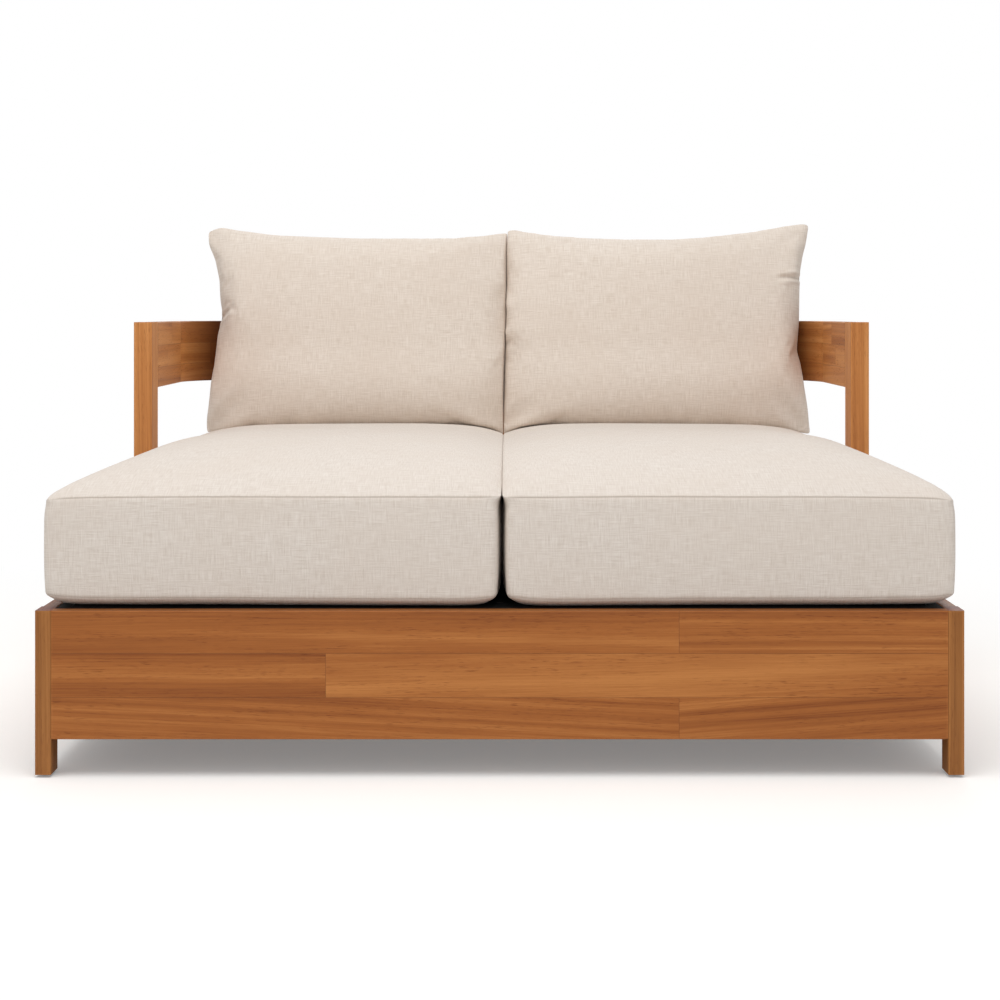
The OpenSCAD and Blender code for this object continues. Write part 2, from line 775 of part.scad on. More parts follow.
foam_x = seat_x + foam_in;
foam_size = [seat_narrow_x - seat_x - 2 * foam_in, seat_back_y - seat_y - 2 * foam_in, foam_h];
foam_z = seat_seam_z - foam_h;

module foam_block(gap = 0) {
    board([foam_x - gap, seat_y + foam_in - gap, foam_z - gap],
          foam_size + [2 * gap, 2 * gap, 2 * gap], 2, seat_corner_r);
}

// Zips, on the rear side of each seat cushion
zip_mid_x = (seat_x + seat_narrow_x) / 2;
zip_z = seat_z + under_h + boxing_h / 2;
zip_y = seat_back_y - zip_flat;

module zip_bed() {
    translate([zip_mid_x - zip_l / 2 - soft_gap, zip_y, zip_z - zip_tape_h / 2 - soft_gap])
        cube([zip_l + 2 * soft_gap, zip_flat + cut, zip_tape_h + 2 * soft_gap]);
    translate([zip_mid_x - zip_l / 2, seat_back_y - foam_in - cut, zip_z - zip_open_h / 2])
        cube([zip_l, foam_in + cut, zip_open_h]);
}

module on_side(side) {
    if (side < 0) mirror([1, 0, 0]) children();
    if (side > 0) children();
}

module seat_cushion(side) {
    color("#d6cabd") on_side(side) difference() {
        seat_form();
        foam_block(foam_fit);
        zip_bed();
    }
}

module seat_foam(side) {
    color("#efe6c8") on_side(side) foam_block();
}

module seat_zip(side) {
    color("#b9aea2") on_side(side) union() {
        translate([zip_mid_x - zip_l / 2, zip_y, zip_z - zip_tape_h / 2])
            cube([zip_l, zip_tape_t, zip_tape_h]);
        translate([zip_mid_x - zip_l / 2, zip_y, zip_z - zip_chain_h / 2])
            cube([zip_l, zip_tape_t + zip_chain_t, zip_chain_h]);
    }
}

// The slider rests at the closed end of the zip, nearest the arm
module zip_slider(side) {
    x = zip_mid_x + zip_l / 2 - slider_l;
    y = zip_y + zip_tape_t + soft_gap;
    groove_h = zip_chain_h + 2 * soft_gap;
    pull_x = x + (slider_l - pull_w) / 2;
    color("#9a9a98") on_side(side) difference() {
        union() {
            translate([x, y, zip_z - slider_h / 2]) cube([slider_l, slider_t, slider_h]);
            translate([pull_x, y + slider_t, zip_z + slider_h / 4 - pull_l])
                cube([pull_w, pull_t, pull_l]);
        }
        translate([x - cut, y - cut, zip_z - groove_h / 2])
            cube([slider_l + 2 * cut, zip_chain_t + cut, groove_h]);
    }
}

// Back pillows

pillow_w = post_x - pillow_side_gap - pillow_gap / 2;
pillow_centre_y = rail_y - pillow_in;
pillow_centre_z = deck_z + pillow_up;
pillow_cols = 16;
pillow_rows = 12;
// Shares of the pillow's width and height by which its sides draw in, where the inner
// side presses on its neighbour and hardly draws in at all
draw_w_share = 0.03;
inner_draw_share = 0.004;
draw_h_share = 0.04;
// Power that shapes the pillow's section, from round at 0.5 to sharp at 1
pillow_power = 0.62;
// Height above the rail below which the back of a pillow stays flat
flat_over_share = 0.25;
pillow_flat_z = arm_z + rail_h * flat_over_share;

function pillow_half(u, v) = pillow_t / 2 * pow((1 - u * u) * (1 - v * v), pillow_power);

// Height of the seat's crown under a point, on whichever cushion is below it
function seat_top(x, y) =
    seat_seam_z
        + crown_at(min(abs(x) - seat_x, seat_wide_x - abs(x), seat_back_y - y) - top_seam_in);

// The rail's inner face at a place along it, bends and all
function rail_face(x) =
    let(out = min(bend_r, max(0, abs(x) - bend_x))) bend_y + sqrt(bend_r * bend_r - out * out);

// A point of the pillow, on its front for face -1 and on its back for face 1
function pillow_point(side, u, v, face) =
    let(x0 = pillow_shift + side * (pillow_gap + pillow_w) / 2,
        draw_share = u * side > 0 ? draw_w_share : inner_draw_share,
        flat_x = pillow_w / 2 * u * (1 - draw_share * (1 - v * v)),
        flat_z = pillow_h / 2 * v * (1 - draw_h_share * (1 - u * u)),
        deep = face * pillow_half(u, v),
        x = x0 + flat_x,
        y = pillow_centre_y + deep * cos(pillow_lean) + flat_z * sin(pillow_lean),
        z = pillow_centre_z + flat_z * cos(pillow_lean) - deep * sin(pillow_lean),
        free_y = min(y, rail_face(x) - soft_gap + max(0, z - pillow_flat_z)),
        free_z = max(z, seat_top(x, free_y) + 4 * soft_gap))
    [x, free_y, free_z];

module pillow_form(side) {
    nu = pillow_cols;
    nv = pillow_rows;
    grid = [for (face = [-1, 1], j = [0:nv], i = [0:nu])
        pillow_point(side, 2 * i / nu - 1, 2 * j / nv - 1, face)];
    back = (nu + 1) * (nv + 1);
    function at_rim(i, j) = i == 0 || i == nu || j == 0 || j == nv;
    function index(face, i, j) =
        (face > 0 && !at_rim(i, j) ? back : 0) + j * (nu + 1) + i;
    // Each cell is cut from its outer corner, so no triangle lies in the rim alone
    function cell(face, i, j) =
        let(a = index(face, i, j), b = index(face, i + 1, j),
            c = index(face, i + 1, j + 1), d = index(face, i, j + 1))
        (i < nu / 2) == (j < nv / 2) ? [[a, c, b], [a, d, c]] : [[a, d, b], [b, d, c]];
    front_faces = [for (j = [0:nv - 1], i = [0:nu - 1]) each cell(-1, i, j)];
    back_faces = [for (j = [0:nv - 1], i = [0:nu - 1], t = cell(1, i, j)) [t[0], t[2], t[1]]];
    polyhedron(grid, concat(front_faces, back_faces));
}

module back_cushion(side) {
    color("#d5c6b5") pillow_form(side);
}

front_panel();
back_panel();
side_panel(-1, false);  // left_front_side_panel
side_panel(-1, true);  // left_rear_side_panel
side_panel(1, false);  // right_front_side_panel
side_panel(1, true);  // right_rear_side_panel
corner_leg(-1, false);  // front_left_leg
corner_leg(1, false);  // front_right_leg
corner_leg(-1, true);  // rear_left_leg
corner_leg(1, true);  // rear_right_leg
arm_post(-1);  // left_arm_post
arm_post(1);  // right_arm_post
arm_rail(-1);  // left_arm_rail
arm_rail(1);  // right_arm_rail
corner_bend(-1);  // left_corner_bend
corner_bend(1);  // right_corner_bend
back_rail();
upright(upright_xs[0]);  // left_upright
upright(upright_xs[1]);  // centre_upright
upright(upright_xs[2]);  // right_upright
centre_beam();
centre_leg(-centre_leg_y);  // front_centre_leg
centre_leg(centre_leg_y);  // rear_centre_leg
beam_cleats();
ledger(-1, false);  // left_front_ledger
ledger(-1, true);  // left_rear_ledger
ledger(1, false);  // right_front_ledger
ledger(1, true);  // right_rear_ledger
for (i = [0:slat_n - 1])
    slat(i);
deck_cloth();
corner_blocks();
leg_bolts();
barrel_nuts();
upright_bolts();
sleeve_nuts();
dowels();
wood_screws();
foot_glides();
seat_cushion(-1);  // left_seat_cushion
seat_cushion(1);  // right_seat_cushion
seat_foam(-1);  // left_seat_foam
seat_foam(1);  // right_seat_foam
seat_zip(-1);  // left_seat_zip
seat_zip(1);  // right_seat_zip
zip_slider(-1);  // left_zip_slider
zip_slider(1);  // right_zip_slider
back_cushion(-1);  // left_back_cushion
back_cushion(1);  // right_back_cushion
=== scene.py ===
# %% [markdown]
# # Dressing an outdoor daybed
#
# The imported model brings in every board, bolt and cushion at its true size and place. This
# lesson keeps that frame as it is, gives the boards their wood, and sews the soft pieces
# that a solid model can only stand in for. Each step says what the real piece is, how it
# could be made, and why it is made the way it is here.

import math

import bmesh
import bpy
import numpy as np
from mathutils import Matrix, Vector
from mathutils.bvhtree import BVHTree


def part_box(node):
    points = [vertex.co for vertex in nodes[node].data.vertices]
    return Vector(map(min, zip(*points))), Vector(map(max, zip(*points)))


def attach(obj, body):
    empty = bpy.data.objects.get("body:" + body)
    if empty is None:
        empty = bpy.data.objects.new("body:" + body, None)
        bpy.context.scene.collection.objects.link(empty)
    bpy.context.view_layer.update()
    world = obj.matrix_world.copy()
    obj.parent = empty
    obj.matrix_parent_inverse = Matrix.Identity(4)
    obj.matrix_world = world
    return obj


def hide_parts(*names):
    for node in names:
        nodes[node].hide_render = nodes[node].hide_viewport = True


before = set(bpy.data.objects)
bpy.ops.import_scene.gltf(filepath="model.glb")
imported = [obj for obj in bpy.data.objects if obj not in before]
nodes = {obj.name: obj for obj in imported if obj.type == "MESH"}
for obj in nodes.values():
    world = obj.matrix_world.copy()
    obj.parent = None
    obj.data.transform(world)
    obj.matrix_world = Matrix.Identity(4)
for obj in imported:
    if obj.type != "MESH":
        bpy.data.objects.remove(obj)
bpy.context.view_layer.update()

# %% [markdown]
# ## The camera
#
# The photograph looks straight at the front from a little above the cushions, with the
# uprights of the picture kept parallel. A level camera with a shifted lens does that. Its
# distance comes from how fast the arm posts shrink behind the front legs.

# %% A level camera with a shifted lens
def put(name, data):
    """Makes an object of some data and links it to the scene."""
    made = bpy.data.objects.new(name, data)
    bpy.context.scene.collection.objects.link(made)
    return made


camera = put("camera", bpy.data.cameras.new("camera"))
camera.location = (0.013, -3.55, 0.729)
camera.rotation_euler = (math.radians(90), 0, 0)
camera.data.sensor_width = 36
camera.data.lens = 66.96
camera.data.shift_x = -0.008
camera.data.shift_y = -0.19
camera.data.clip_end = 200
bpy.context.scene.camera = camera
bpy.context.scene.view_settings.view_transform = "Standard"

# %% [markdown]
# ## Helpers for finishes
#
# Every finish is a chain of small steps, so a few short functions save most of the typing:
# one adds a step and feeds it, others do arithmetic, mix two colours, or link by name.

# %% Lay one step of a finish after another
VALUE, VECTOR, COLOUR = "NodeSocketFloat", "NodeSocketVector", "NodeSocketColor"


def paint(code):
    """A colour written as #rrggbb, in the linear values that shaders take."""
    channels = [int(code[i:i + 2], 16) / 255 for i in (1, 3, 5)]
    return tuple(c / 12.92 if c <= 0.04045 else ((c + 0.055) / 1.055) ** 2.4
                 for c in channels) + (1.0,)


def lay(tree, kind, *feeds, out=0, **choices):
    """Adds a step, feeds its inputs in order, and gives back one of its outputs."""
    made = tree.nodes.new(kind)
    for name, value in choices.items():
        setattr(made, name, value)
    for socket, feed in zip(made.inputs, feeds):
        if isinstance(feed, bpy.types.NodeSocket):
            tree.links.new(feed, socket)
        elif feed is not None:
            socket.default_value = feed
    return made.outputs[out]


def calc(tree, operation, *feeds):
    return lay(tree, "ShaderNodeMath", *feeds, operation=operation)


def vcalc(tree, operation, *feeds, out=0):
    return lay(tree, "ShaderNodeVectorMath", *feeds, operation=operation, out=out)


def split(tree, vector):
    """The three parts of a vector."""
    return lay(tree, "ShaderNodeSeparateXYZ", vector).node.outputs


def spread(tree, value, low, high, to_low=0.0, to_high=1.0):
    """Stretches a value from low..high to another range, and holds it there."""
    return lay(tree, "ShaderNodeMapRange", value, low, high, to_low, to_high)


def dye(tree, factor, under, over, way="MIX"):
    """Mixes one colour over another."""
    return lay(tree, "ShaderNodeMix", factor, None, None, None, None, None, under, over,
               out=2, data_type="RGBA", blend_type=way)


def darken(tree, colour, code):
    """Multiplies a colour by another one."""
    return dye(tree, 1.0, colour, paint(code), "MULTIPLY")


def grain_noise(tree, vector, stretch, detail=2.0, rough=0.5, out=0):
    """Noise with so many features to the metre, given once or along each axis."""
    if not isinstance(stretch, tuple):
        stretch = (stretch,) * 3
    return lay(tree, "ShaderNodeTexNoise", vcalc(tree, "MULTIPLY", vector, stretch), None,
               1.0, detail, rough, out=out)


def recipe(name, takes, gives):
    """A group of steps that several finishes share."""
    tree = bpy.data.node_groups.new(name, "ShaderNodeTree")
    for label, kind in takes.items():
        tree.interface.new_socket(name=label, in_out="INPUT", socket_type=kind)
    for label, kind in gives.items():
        tree.interface.new_socket(name=label, in_out="OUTPUT", socket_type=kind)
    return tree, tree.nodes.new("NodeGroupInput").outputs, tree.nodes.new("NodeGroupOutput")


def use(tree, group, *feeds):
    """Puts a shared recipe into a finish, and gives back its outputs."""
    return lay(tree, "ShaderNodeGroup", *feeds, node_tree=group).node.outputs


def wire(tree, made, **feeds):
    """Links a step's inputs by their names, with _ for a space, and gives back the step."""
    for label, feed in feeds.items():
        tree.links.new(feed, made.inputs[label.replace("_", " ")])
    return made


def new_finish(name, **sockets):
    """A material with one shader, and the plain numbers set on the shader itself."""
    finish = bpy.data.materials.new(name)
    finish.use_nodes = True
    shader = finish.node_tree.nodes["Principled BSDF"]
    for label, value in sockets.items():
        shader.inputs[label.replace("_", " ")].default_value = value
    return finish, finish.node_tree, shader


def connect(tree, shader, colour, rough, relief, depth, strength=1.0):
    """Feeds a shader its colour, roughness and relief, with the depth in metres."""
    bump = tree.nodes.new("ShaderNodeBump")
    bump.inputs["Strength"].default_value = strength
    bump.inputs["Distance"].default_value = depth
    wire(tree, bump, Height=relief)
    wire(tree, shader, Base_Color=colour, Roughness=rough, Normal=bump.outputs[0])


print("Oak brown as a shader sees it:", [round(c, 3) for c in paint("#a8652f")])

# %% [markdown]
# ## Stage and light
#
# The picture was taken on white with soft light from above and in front. The floor is a
# pale sheet that keeps the shadow. Far from the daybed it is plain white to the camera, so
# no edge shows. The lamps are large and set so that a colour renders about as written.

# %% A pale floor that fades to white
# The floor's height and reach, and the distances between which it fades to white
FLOOR_Z, FLOOR_REACH, FADE = -0.0004, 30.0, (1.1, 2.2)


def make_floor():
    mesh = bpy.data.meshes.new("floor")
    mesh.from_pydata([(x * FLOOR_REACH, y * FLOOR_REACH, FLOOR_Z)
                      for x, y in ((-1, -1), (1, -1), (1, 1), (-1, 1))], [], [(0, 1, 2, 3)])
    floor = put("floor", mesh)
    finish = bpy.data.materials.new("pale_floor")
    finish.use_nodes = True
    tree = finish.node_tree
    tree.nodes.clear()
    place = lay(tree, "ShaderNodeTexCoord", out="Object")
    far = spread(tree, vcalc(tree, "LENGTH", place, out=1), *FADE)
    seen = lay(tree, "ShaderNodeLightPath", out="Is Camera Ray")
    lit = lay(tree, "ShaderNodeBsdfDiffuse", paint("#f4f3f1"))
    lift = lay(tree, "ShaderNodeEmission", (1, 1, 1, 1), 0.2)
    near = lay(tree, "ShaderNodeAddShader", lit, lift)
    white = lay(tree, "ShaderNodeEmission", (1, 1, 1, 1), 1.0)
    shown = lay(tree, "ShaderNodeMixShader", far, near, white)
    end = tree.nodes.new("ShaderNodeOutputMaterial")
    tree.links.new(lay(tree, "ShaderNodeMixShader", seen, lit, shown), end.inputs["Surface"])
    mesh.materials.append(finish)
    return floor


floor = make_floor()
print("The floor lies at", round(floor.data.vertices[0].co.z * 1000, 1), "mm")

# %% Soft lamps and a pale sky
def soft_lamp(name, place, target, size, watts, colour):
    lamp = bpy.data.lights.new(name, "AREA")
    lamp.shape = "RECTANGLE"
    lamp.size, lamp.size_y = size
    lamp.energy = watts
    lamp.color = colour
    stand = put(name, lamp)
    stand.location = place
    stand.rotation_euler = (Vector(target) - Vector(place)).to_track_quat("-Z", "Y").to_euler()


soft_lamp("lamp_above", (-0.3, -1.5, 3.4), (0, -0.1, 0.4), (3.2, 2.4), 68, (1, 0.995, 0.985))
soft_lamp("lamp_front", (-0.7, -4.2, 1.9), (0, -0.2, 0.4), (3.0, 2.0), 8, (1, 0.965, 0.93))
soft_lamp("lamp_behind", (0.6, 3.6, 2.8), (0, 0.3, 0.5), (3.0, 2.0), 40, (0.97, 0.985, 1))

world = bpy.data.worlds.new("pale_sky")
bpy.context.scene.world = world
world.use_nodes = True
sky = world.node_tree
sky.nodes.clear()
seen_by = sky.nodes.new("ShaderNodeLightPath").outputs
shows = calc(sky, "MAXIMUM", seen_by["Is Camera Ray"],
             calc(sky, "MAXIMUM", seen_by["Is Glossy Ray"], seen_by["Is Transmission Ray"]))
strength = spread(sky, shows, 0.0, 1.0, 0.52, 1.0)
wire(sky, sky.nodes.new("ShaderNodeOutputWorld"),
     Surface=lay(sky, "ShaderNodeBackground", (1, 1, 1, 1), strength))

# %% [markdown]
# ## Hardwood
#
# The frame is oiled hardwood. A board shows the growth rings of its log where the saw cut
# them, so the figure is worked out in three dimensions: rings round a pith that lies off
# to one side and at a slight slant, bent by slow waves. Fibres and dark pores run along
# the board. One recipe serves every board, and each board cuts its own place in the log.

# %% The recipe for the wood's figure
def hardwood_recipe():
    tree, given, result = recipe(
        "hardwood_figure",
        {"Log": VECTOR, "Pale": COLOUR, "Middle": COLOUR, "Dark": COLOUR, "Shade": VALUE},
        {"Colour": COLOUR, "Roughness": VALUE, "Relief": VALUE})
    log = given["Log"]
    slow = grain_noise(tree, log, (1.1, 4.0, 4.0), 2.0, out=1)
    bend = vcalc(tree, "SCALE", vcalc(tree, "SUBTRACT", slow, (0.5, 0.5, 0.5)), None, None,
                 0.014)
    bent = vcalc(tree, "MULTIPLY", vcalc(tree, "ADD", log, bend), (0.0, 1.0, 1.0))
    radius = vcalc(tree, "LENGTH", bent, out=1)
    bands, rings = (lay(tree, "ShaderNodeTexNoise", None, calc(tree, "MULTIPLY", radius, count),
                        1.0, detail, rough, noise_dimensions="1D")
                    for count, detail, rough in ((62.0, 1.0, 0.5), (330.0, 3.0, 0.6)))
    fibres = grain_noise(tree, log, (7.0, 420.0, 420.0), 3.0, 0.6)
    patches = grain_noise(tree, log, (1.6, 13.0, 13.0), 3.0)
    tone = given["Shade"]
    for part, weight in ((bands, 0.3), (rings, 0.15), (fibres, 0.2), (patches, 0.35)):
        tone = calc(tree, "MULTIPLY_ADD", spread(tree, part, 0.3, 0.7), weight, tone)
    colour = dye(tree, spread(tree, tone, 0.12, 0.5), given["Dark"], given["Middle"])
    colour = dye(tree, spread(tree, tone, 0.5, 0.88), colour, given["Pale"])
    pores = spread(tree, grain_noise(tree, log, (52.0, 980.0, 980.0), 1.0), 0.6, 0.72)
    clusters = spread(tree, grain_noise(tree, log, (6.0, 40.0, 40.0), 1.0), 0.4, 0.62, 0.25, 1.0)
    pores = calc(tree, "MULTIPLY", pores, clusters)
    colour = dye(tree, calc(tree, "MULTIPLY", pores, 0.5), colour,
                 darken(tree, colour, "#8a5a3c"))
    rough = calc(tree, "MULTIPLY_ADD", fibres, 0.22, 0.36)
    rough = calc(tree, "MULTIPLY_ADD", pores, 0.2, rough)
    relief = calc(tree, "MULTIPLY_ADD", fibres, 0.35, calc(tree, "MULTIPLY", pores, -1.0))
    wire(tree, result, Colour=colour, Roughness=rough, Relief=relief)
    return tree


hardwood = hardwood_recipe()
print("The wood's figure takes", len(hardwood.nodes), "steps")

# %% [markdown]
# A real edge is handled and rubbed, so the oil wears thin there. The paler edge is also a painted
# highlight, for the light that a rounded edge would catch. On a squared board the distance to the
# nearest
# edge is easy to work out: of the three distances to the faces, the least is nothing on the
# surface, and the next one is how far away the edge is.

# %% The recipe for paler edges, worn and with a painted highlight
def edge_recipe():
    tree, given, result = recipe(
        "worn_and_highlit_edges", {"Place": VECTOR, "Low": VECTOR, "High": VECTOR, "Width": VALUE},
        {"Rub": VALUE})
    inside = vcalc(tree, "MINIMUM", vcalc(tree, "SUBTRACT", given["Place"], given["Low"]),
                   vcalc(tree, "SUBTRACT", given["High"], given["Place"]))
    x, y, z = split(tree, inside)
    least = calc(tree, "MINIMUM", x, calc(tree, "MINIMUM", y, z))
    most = calc(tree, "MAXIMUM", x, calc(tree, "MAXIMUM", y, z))
    total = calc(tree, "ADD", x, calc(tree, "ADD", y, z))
    edge = calc(tree, "SUBTRACT", calc(tree, "SUBTRACT", total, least), most)
    uneven = grain_noise(tree, given["Place"], 35.0, 3.0)
    ragged = calc(tree, "MULTIPLY_ADD", calc(tree, "SUBTRACT", uneven, 0.5), given["Width"], edge)
    near = calc(tree, "SUBTRACT", 1.0, calc(tree, "DIVIDE", ragged, given["Width"]))
    wire(tree, result, Rub=spread(tree, near, 0.0, 1.0))
    return tree


edge_wear_and_highlight = edge_recipe()
print("Rubbed edges take", len(edge_wear_and_highlight.nodes), "steps")

# %% [markdown]
# The wide boards are glued up from staves. Each stave is its own piece of wood, so it gets
# its own shift into the log, its own slant and its own shade. The joints are a hair darker.

# %% Staves of the glued-up boards
# Each stave: its ends along the board and across it, from 0 to 1, then shade and slant
FRONT_STAVES = [
    (0.0, 0.7, 0.667, 1.0, -0.04, 0.004), (0.7, 1.0, 0.667, 1.0, 0.02, -0.01),
    (0.0, 0.306, 0.325, 0.667, -0.08, 0.0), (0.306, 1.0, 0.325, 0.667, 0.12, 0.008),
    (0.0, 0.7, 0.0, 0.325, 0.0, -0.057), (0.7, 1.0, 0.0, 0.325, 0.0, 0.07)]
BACK_STAVES = [
    (0.0, 0.42, 0.64, 1.0, 0.03, 0.02), (0.42, 1.0, 0.64, 1.0, -0.06, -0.015),
    (0.0, 0.66, 0.33, 0.64, -0.02, 0.03), (0.66, 1.0, 0.33, 0.64, 0.06, -0.02),
    (0.0, 0.25, 0.0, 0.33, 0.05, 0.02), (0.25, 1.0, 0.0, 0.33, -0.03, 0.03)]
SIDE_STAVES = [
    (0.0, 1.0, 0.65, 1.0, 0.04, 0.02), (0.0, 0.55, 0.32, 0.65, -0.07, 0.03),
    (0.55, 1.0, 0.32, 0.65, 0.05, -0.02), (0.0, 1.0, 0.0, 0.32, -0.01, -0.03)]
RAIL_STAVES = [
    (0.0, 0.6, 0.64, 1.0, -0.06, 0.02), (0.6, 1.0, 0.64, 1.0, 0.06, -0.02),
    (0.0, 0.42, 0.3, 0.64, 0.05, 0.01), (0.42, 1.0, 0.3, 0.64, -0.07, 0.02),
    (0.0, 1.0, 0.0, 0.3, 0.02, -0.02)]


def stave_steps(tree, log, along, across, staves):
    """Shifts the log at each stave. Gives back the log, the shade and the joints' lines."""
    shade, joints = 0.0, 1.0
    for number, (start, end, low, high, tone, slant) in enumerate(staves):
        near_end = calc(tree, "MINIMUM", calc(tree, "SUBTRACT", along[0], start),
                        calc(tree, "SUBTRACT", end, along[0]))
        near_side = calc(tree, "MINIMUM", calc(tree, "SUBTRACT", across[0], low),
                         calc(tree, "SUBTRACT", high, across[0]))
        edge = calc(tree, "MINIMUM", calc(tree, "MULTIPLY", near_end, along[1]),
                    calc(tree, "MULTIPLY", near_side, across[1]))
        inside = calc(tree, "GREATER_THAN", edge, 0.0)
        shade = calc(tree, "MULTIPLY_ADD", inside, tone, shade)
        joints = calc(tree, "MINIMUM", joints, calc(tree, "ABSOLUTE", edge))
        lean = lay(tree, "ShaderNodeMapping", log, (3.7 * number + 0.4, 0.05 * (number % 3),
                   0.04 * ((number * 2) % 5)), (0.0, slant, 0.0))
        log = lay(tree, "ShaderNodeMix", inside, None, None, None, log, lean, out=1,
                  data_type="VECTOR")
    return log, shade, spread(tree, joints, 0.0001, 0.0007, 1.0, 0.0)


print("Staves on the front board:", len(FRONT_STAVES))

# %% A finish for one board
STAINS = {"oiled": ("#c37f41", "#a6622a", "#844516"),
          "arm": ("#da9a5c", "#bf7b40", "#945426"),
          "leg": ("#b67a41", "#9a622e", "#76441a"),
          "plain": ("#d3ad7c", "#bd8f5c", "#9c6c3e")}
TURNS = ((0.0, 0.0, 0.0), (0.0, 0.0, math.radians(-90)), (0.0, math.radians(90), 0.0))
# Paler edges, for worn oil and a painted highlight: their width and how much paler they are.
# Then the painted shade behind the pillows
WEAR_AND_HIGHLIGHT_WIDTH, WEAR_AND_HIGHLIGHT_PALE = 0.0035, 0.28
SHADED, SHADED_SHARE = "#7c6657", 0.93
draws = np.random.default_rng(41)


def dress(node, finish):
    """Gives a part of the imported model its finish."""
    for slot in nodes[node].material_slots:
        slot.material = finish


def board_finish(node, along, stain, staves=None, shade=0.0, bend=None, painted_shade_inside=False):
    """Wood for one board, cut from its own place in the log, with the grain along an axis.

    A bend is given as its centre and the radius of its middle. A bend, and a board that asks for
    it,
    get painted shade on their inner face: a darker colour where the pillows would shade it.
    """
    low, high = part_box(node)
    middle, size = (low + high) / 2, high - low
    finish, tree, shader = new_finish(f"wood_{node}", Specular_IOR_Level=0.3)
    place = lay(tree, "ShaderNodeTexCoord", out="Object")
    seed, pith = draws.uniform(0, 40), draws.uniform(0.16, 0.4, 2)
    slant = draws.uniform(-0.012, 0.012, 2)
    if bend:
        x, y, z = split(tree, vcalc(tree, "SUBTRACT", place, (*bend[0], middle.z)))
        turn = calc(tree, "MULTIPLY", calc(tree, "ARCTAN2", y, x), bend[1])
        out_from = calc(tree, "SQRT", calc(tree, "ADD", calc(tree, "MULTIPLY", x, x),
                                           calc(tree, "MULTIPLY", y, y)))
        centred = lay(tree, "ShaderNodeCombineXYZ", turn, out_from, z)
    else:
        turned = (Matrix.Rotation(TURNS[along][2], 3, "Z")
                  @ Matrix.Rotation(TURNS[along][1], 3, "Y"))
        centred = lay(tree, "ShaderNodeMapping", place, tuple(turned @ -middle), TURNS[along])
    log = lay(tree, "ShaderNodeMapping", centred, (seed, *pith), (0.0, *slant))
    lines = None
    if staves:
        parts = split(tree, place)
        share = [spread(tree, parts[axis], low[axis], high[axis]) for axis in (along, 2)]
        log, shade, lines = stave_steps(tree, log, (share[0], size[along]), (share[1], size.z),
                                        staves)
    pale, mid, dark = (paint(code) for code in STAINS[stain])
    figure = use(tree, hardwood, log, pale, mid, dark, shade)
    wear_and_highlight = use(tree, edge_wear_and_highlight, place, tuple(low), tuple(high), WEAR_AND_HIGHLIGHT_WIDTH)["Rub"]
    # Paler edges: oil worn thin, and a painted highlight where a rounded edge would catch the
    # light
    colour = dye(tree, calc(tree, "MULTIPLY", wear_and_highlight, WEAR_AND_HIGHLIGHT_PALE), figure["Colour"], pale)
    normal = split(tree, lay(tree, "ShaderNodeTexCoord", out="Normal"))
    end_grain = 0.0 if bend else spread(tree, calc(tree, "ABSOLUTE", normal[along]), 0.7, 0.95)
    colour = dye(tree, end_grain, colour, darken(tree, colour, "#b48a72"))
    painted_shade = None
    # Painted shade: the inner face of a bend, or of a board that asks for it, is darkened where
    # the pillows would shade it
    if bend:
        painted_shade = calc(tree, "MULTIPLY",
                    spread(tree, out_from, bend[1] - 0.012, bend[1] - 0.006, 1.0, 0.0),
                    spread(tree, calc(tree, "DIVIDE", y, out_from), 0.15, 0.8))
    elif painted_shade_inside:
        painted_shade = spread(tree, normal[1], -0.9, -0.5, 1.0, 0.0)
    if painted_shade is not None:
        colour = dye(tree, calc(tree, "MULTIPLY", painted_shade, SHADED_SHARE), colour,
                     darken(tree, colour, SHADED))
    relief = calc(tree, "MULTIPLY_ADD", wear_and_highlight, -0.5, figure["Relief"])
    if lines is not None:
        colour = dye(tree, calc(tree, "MULTIPLY", lines, 0.45), colour, paint("#4a2a15"))
        relief = calc(tree, "MULTIPLY_ADD", lines, -1.5, relief)
    connect(tree, shader, colour, figure["Roughness"], relief, 0.0002, 0.6)
    dress(node, finish)


# %% [markdown]
# ## Which board runs which way
#
# Grain follows the length of each piece. The bent corners were steamed or laminated round
# a form, so their grain turns with them, worked out from the angle about the bend's centre.

# %% Give every board its wood
board_finish("front_panel", 0, "oiled", FRONT_STAVES)
board_finish("back_panel", 0, "oiled", BACK_STAVES)
for side in ("left", "right"):
    for end in ("front", "rear"):
        board_finish(f"{side}_{end}_side_panel", 1, "oiled", SIDE_STAVES)
        board_finish(f"{side}_{end}_ledger", 1, "plain")
    board_finish(f"{side}_arm_post", 2, "arm", shade=0.06)
    board_finish(f"{side}_arm_rail", 1, "arm", RAIL_STAVES)
    board_finish(f"{side}_upright", 2, "arm")
for corner in ("front_left", "front_right", "rear_left", "rear_right"):
    board_finish(f"{corner}_leg", 2, "leg")
board_finish("centre_upright", 2, "arm")
# The back rail's inner face gets painted shade, where the pillows would shade it
board_finish("back_rail", 0, "arm", RAIL_STAVES, painted_shade_inside=True)
for node, along in (("centre_beam", 1), ("front_centre_leg", 2), ("rear_centre_leg", 2),
                    ("beam_cleats", 0), ("corner_blocks", 2)):
    board_finish(node, along, "plain")
for number in range(1, 11):
    board_finish(f"slat_{number}", 0, "plain")
rail_low, rail_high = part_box("back_rail")
for side, end, centre_x in (("left", 1, rail_low.x), ("right", 0, rail_high.x)):
    bend_r = abs(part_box(f"{side}_arm_rail")[end].x - centre_x)
    board_finish(f"{side}_corner_bend", 0, "arm", RAIL_STAVES,
                 bend=((centre_x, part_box(f"{side}_corner_bend")[0].y), bend_r + 0.014))
print("Boards with wood:", sum(m.name.startswith("wood_") for m in bpy.data.materials))

# %% [markdown]
# ## Metal, plastic, foam and dowels
#
# The small parts are zinc-plated steel, yellow-plated screws, black plastic glides, foam and
# beech. Each gets a broken-up gloss, because handled metal is never one even shine.

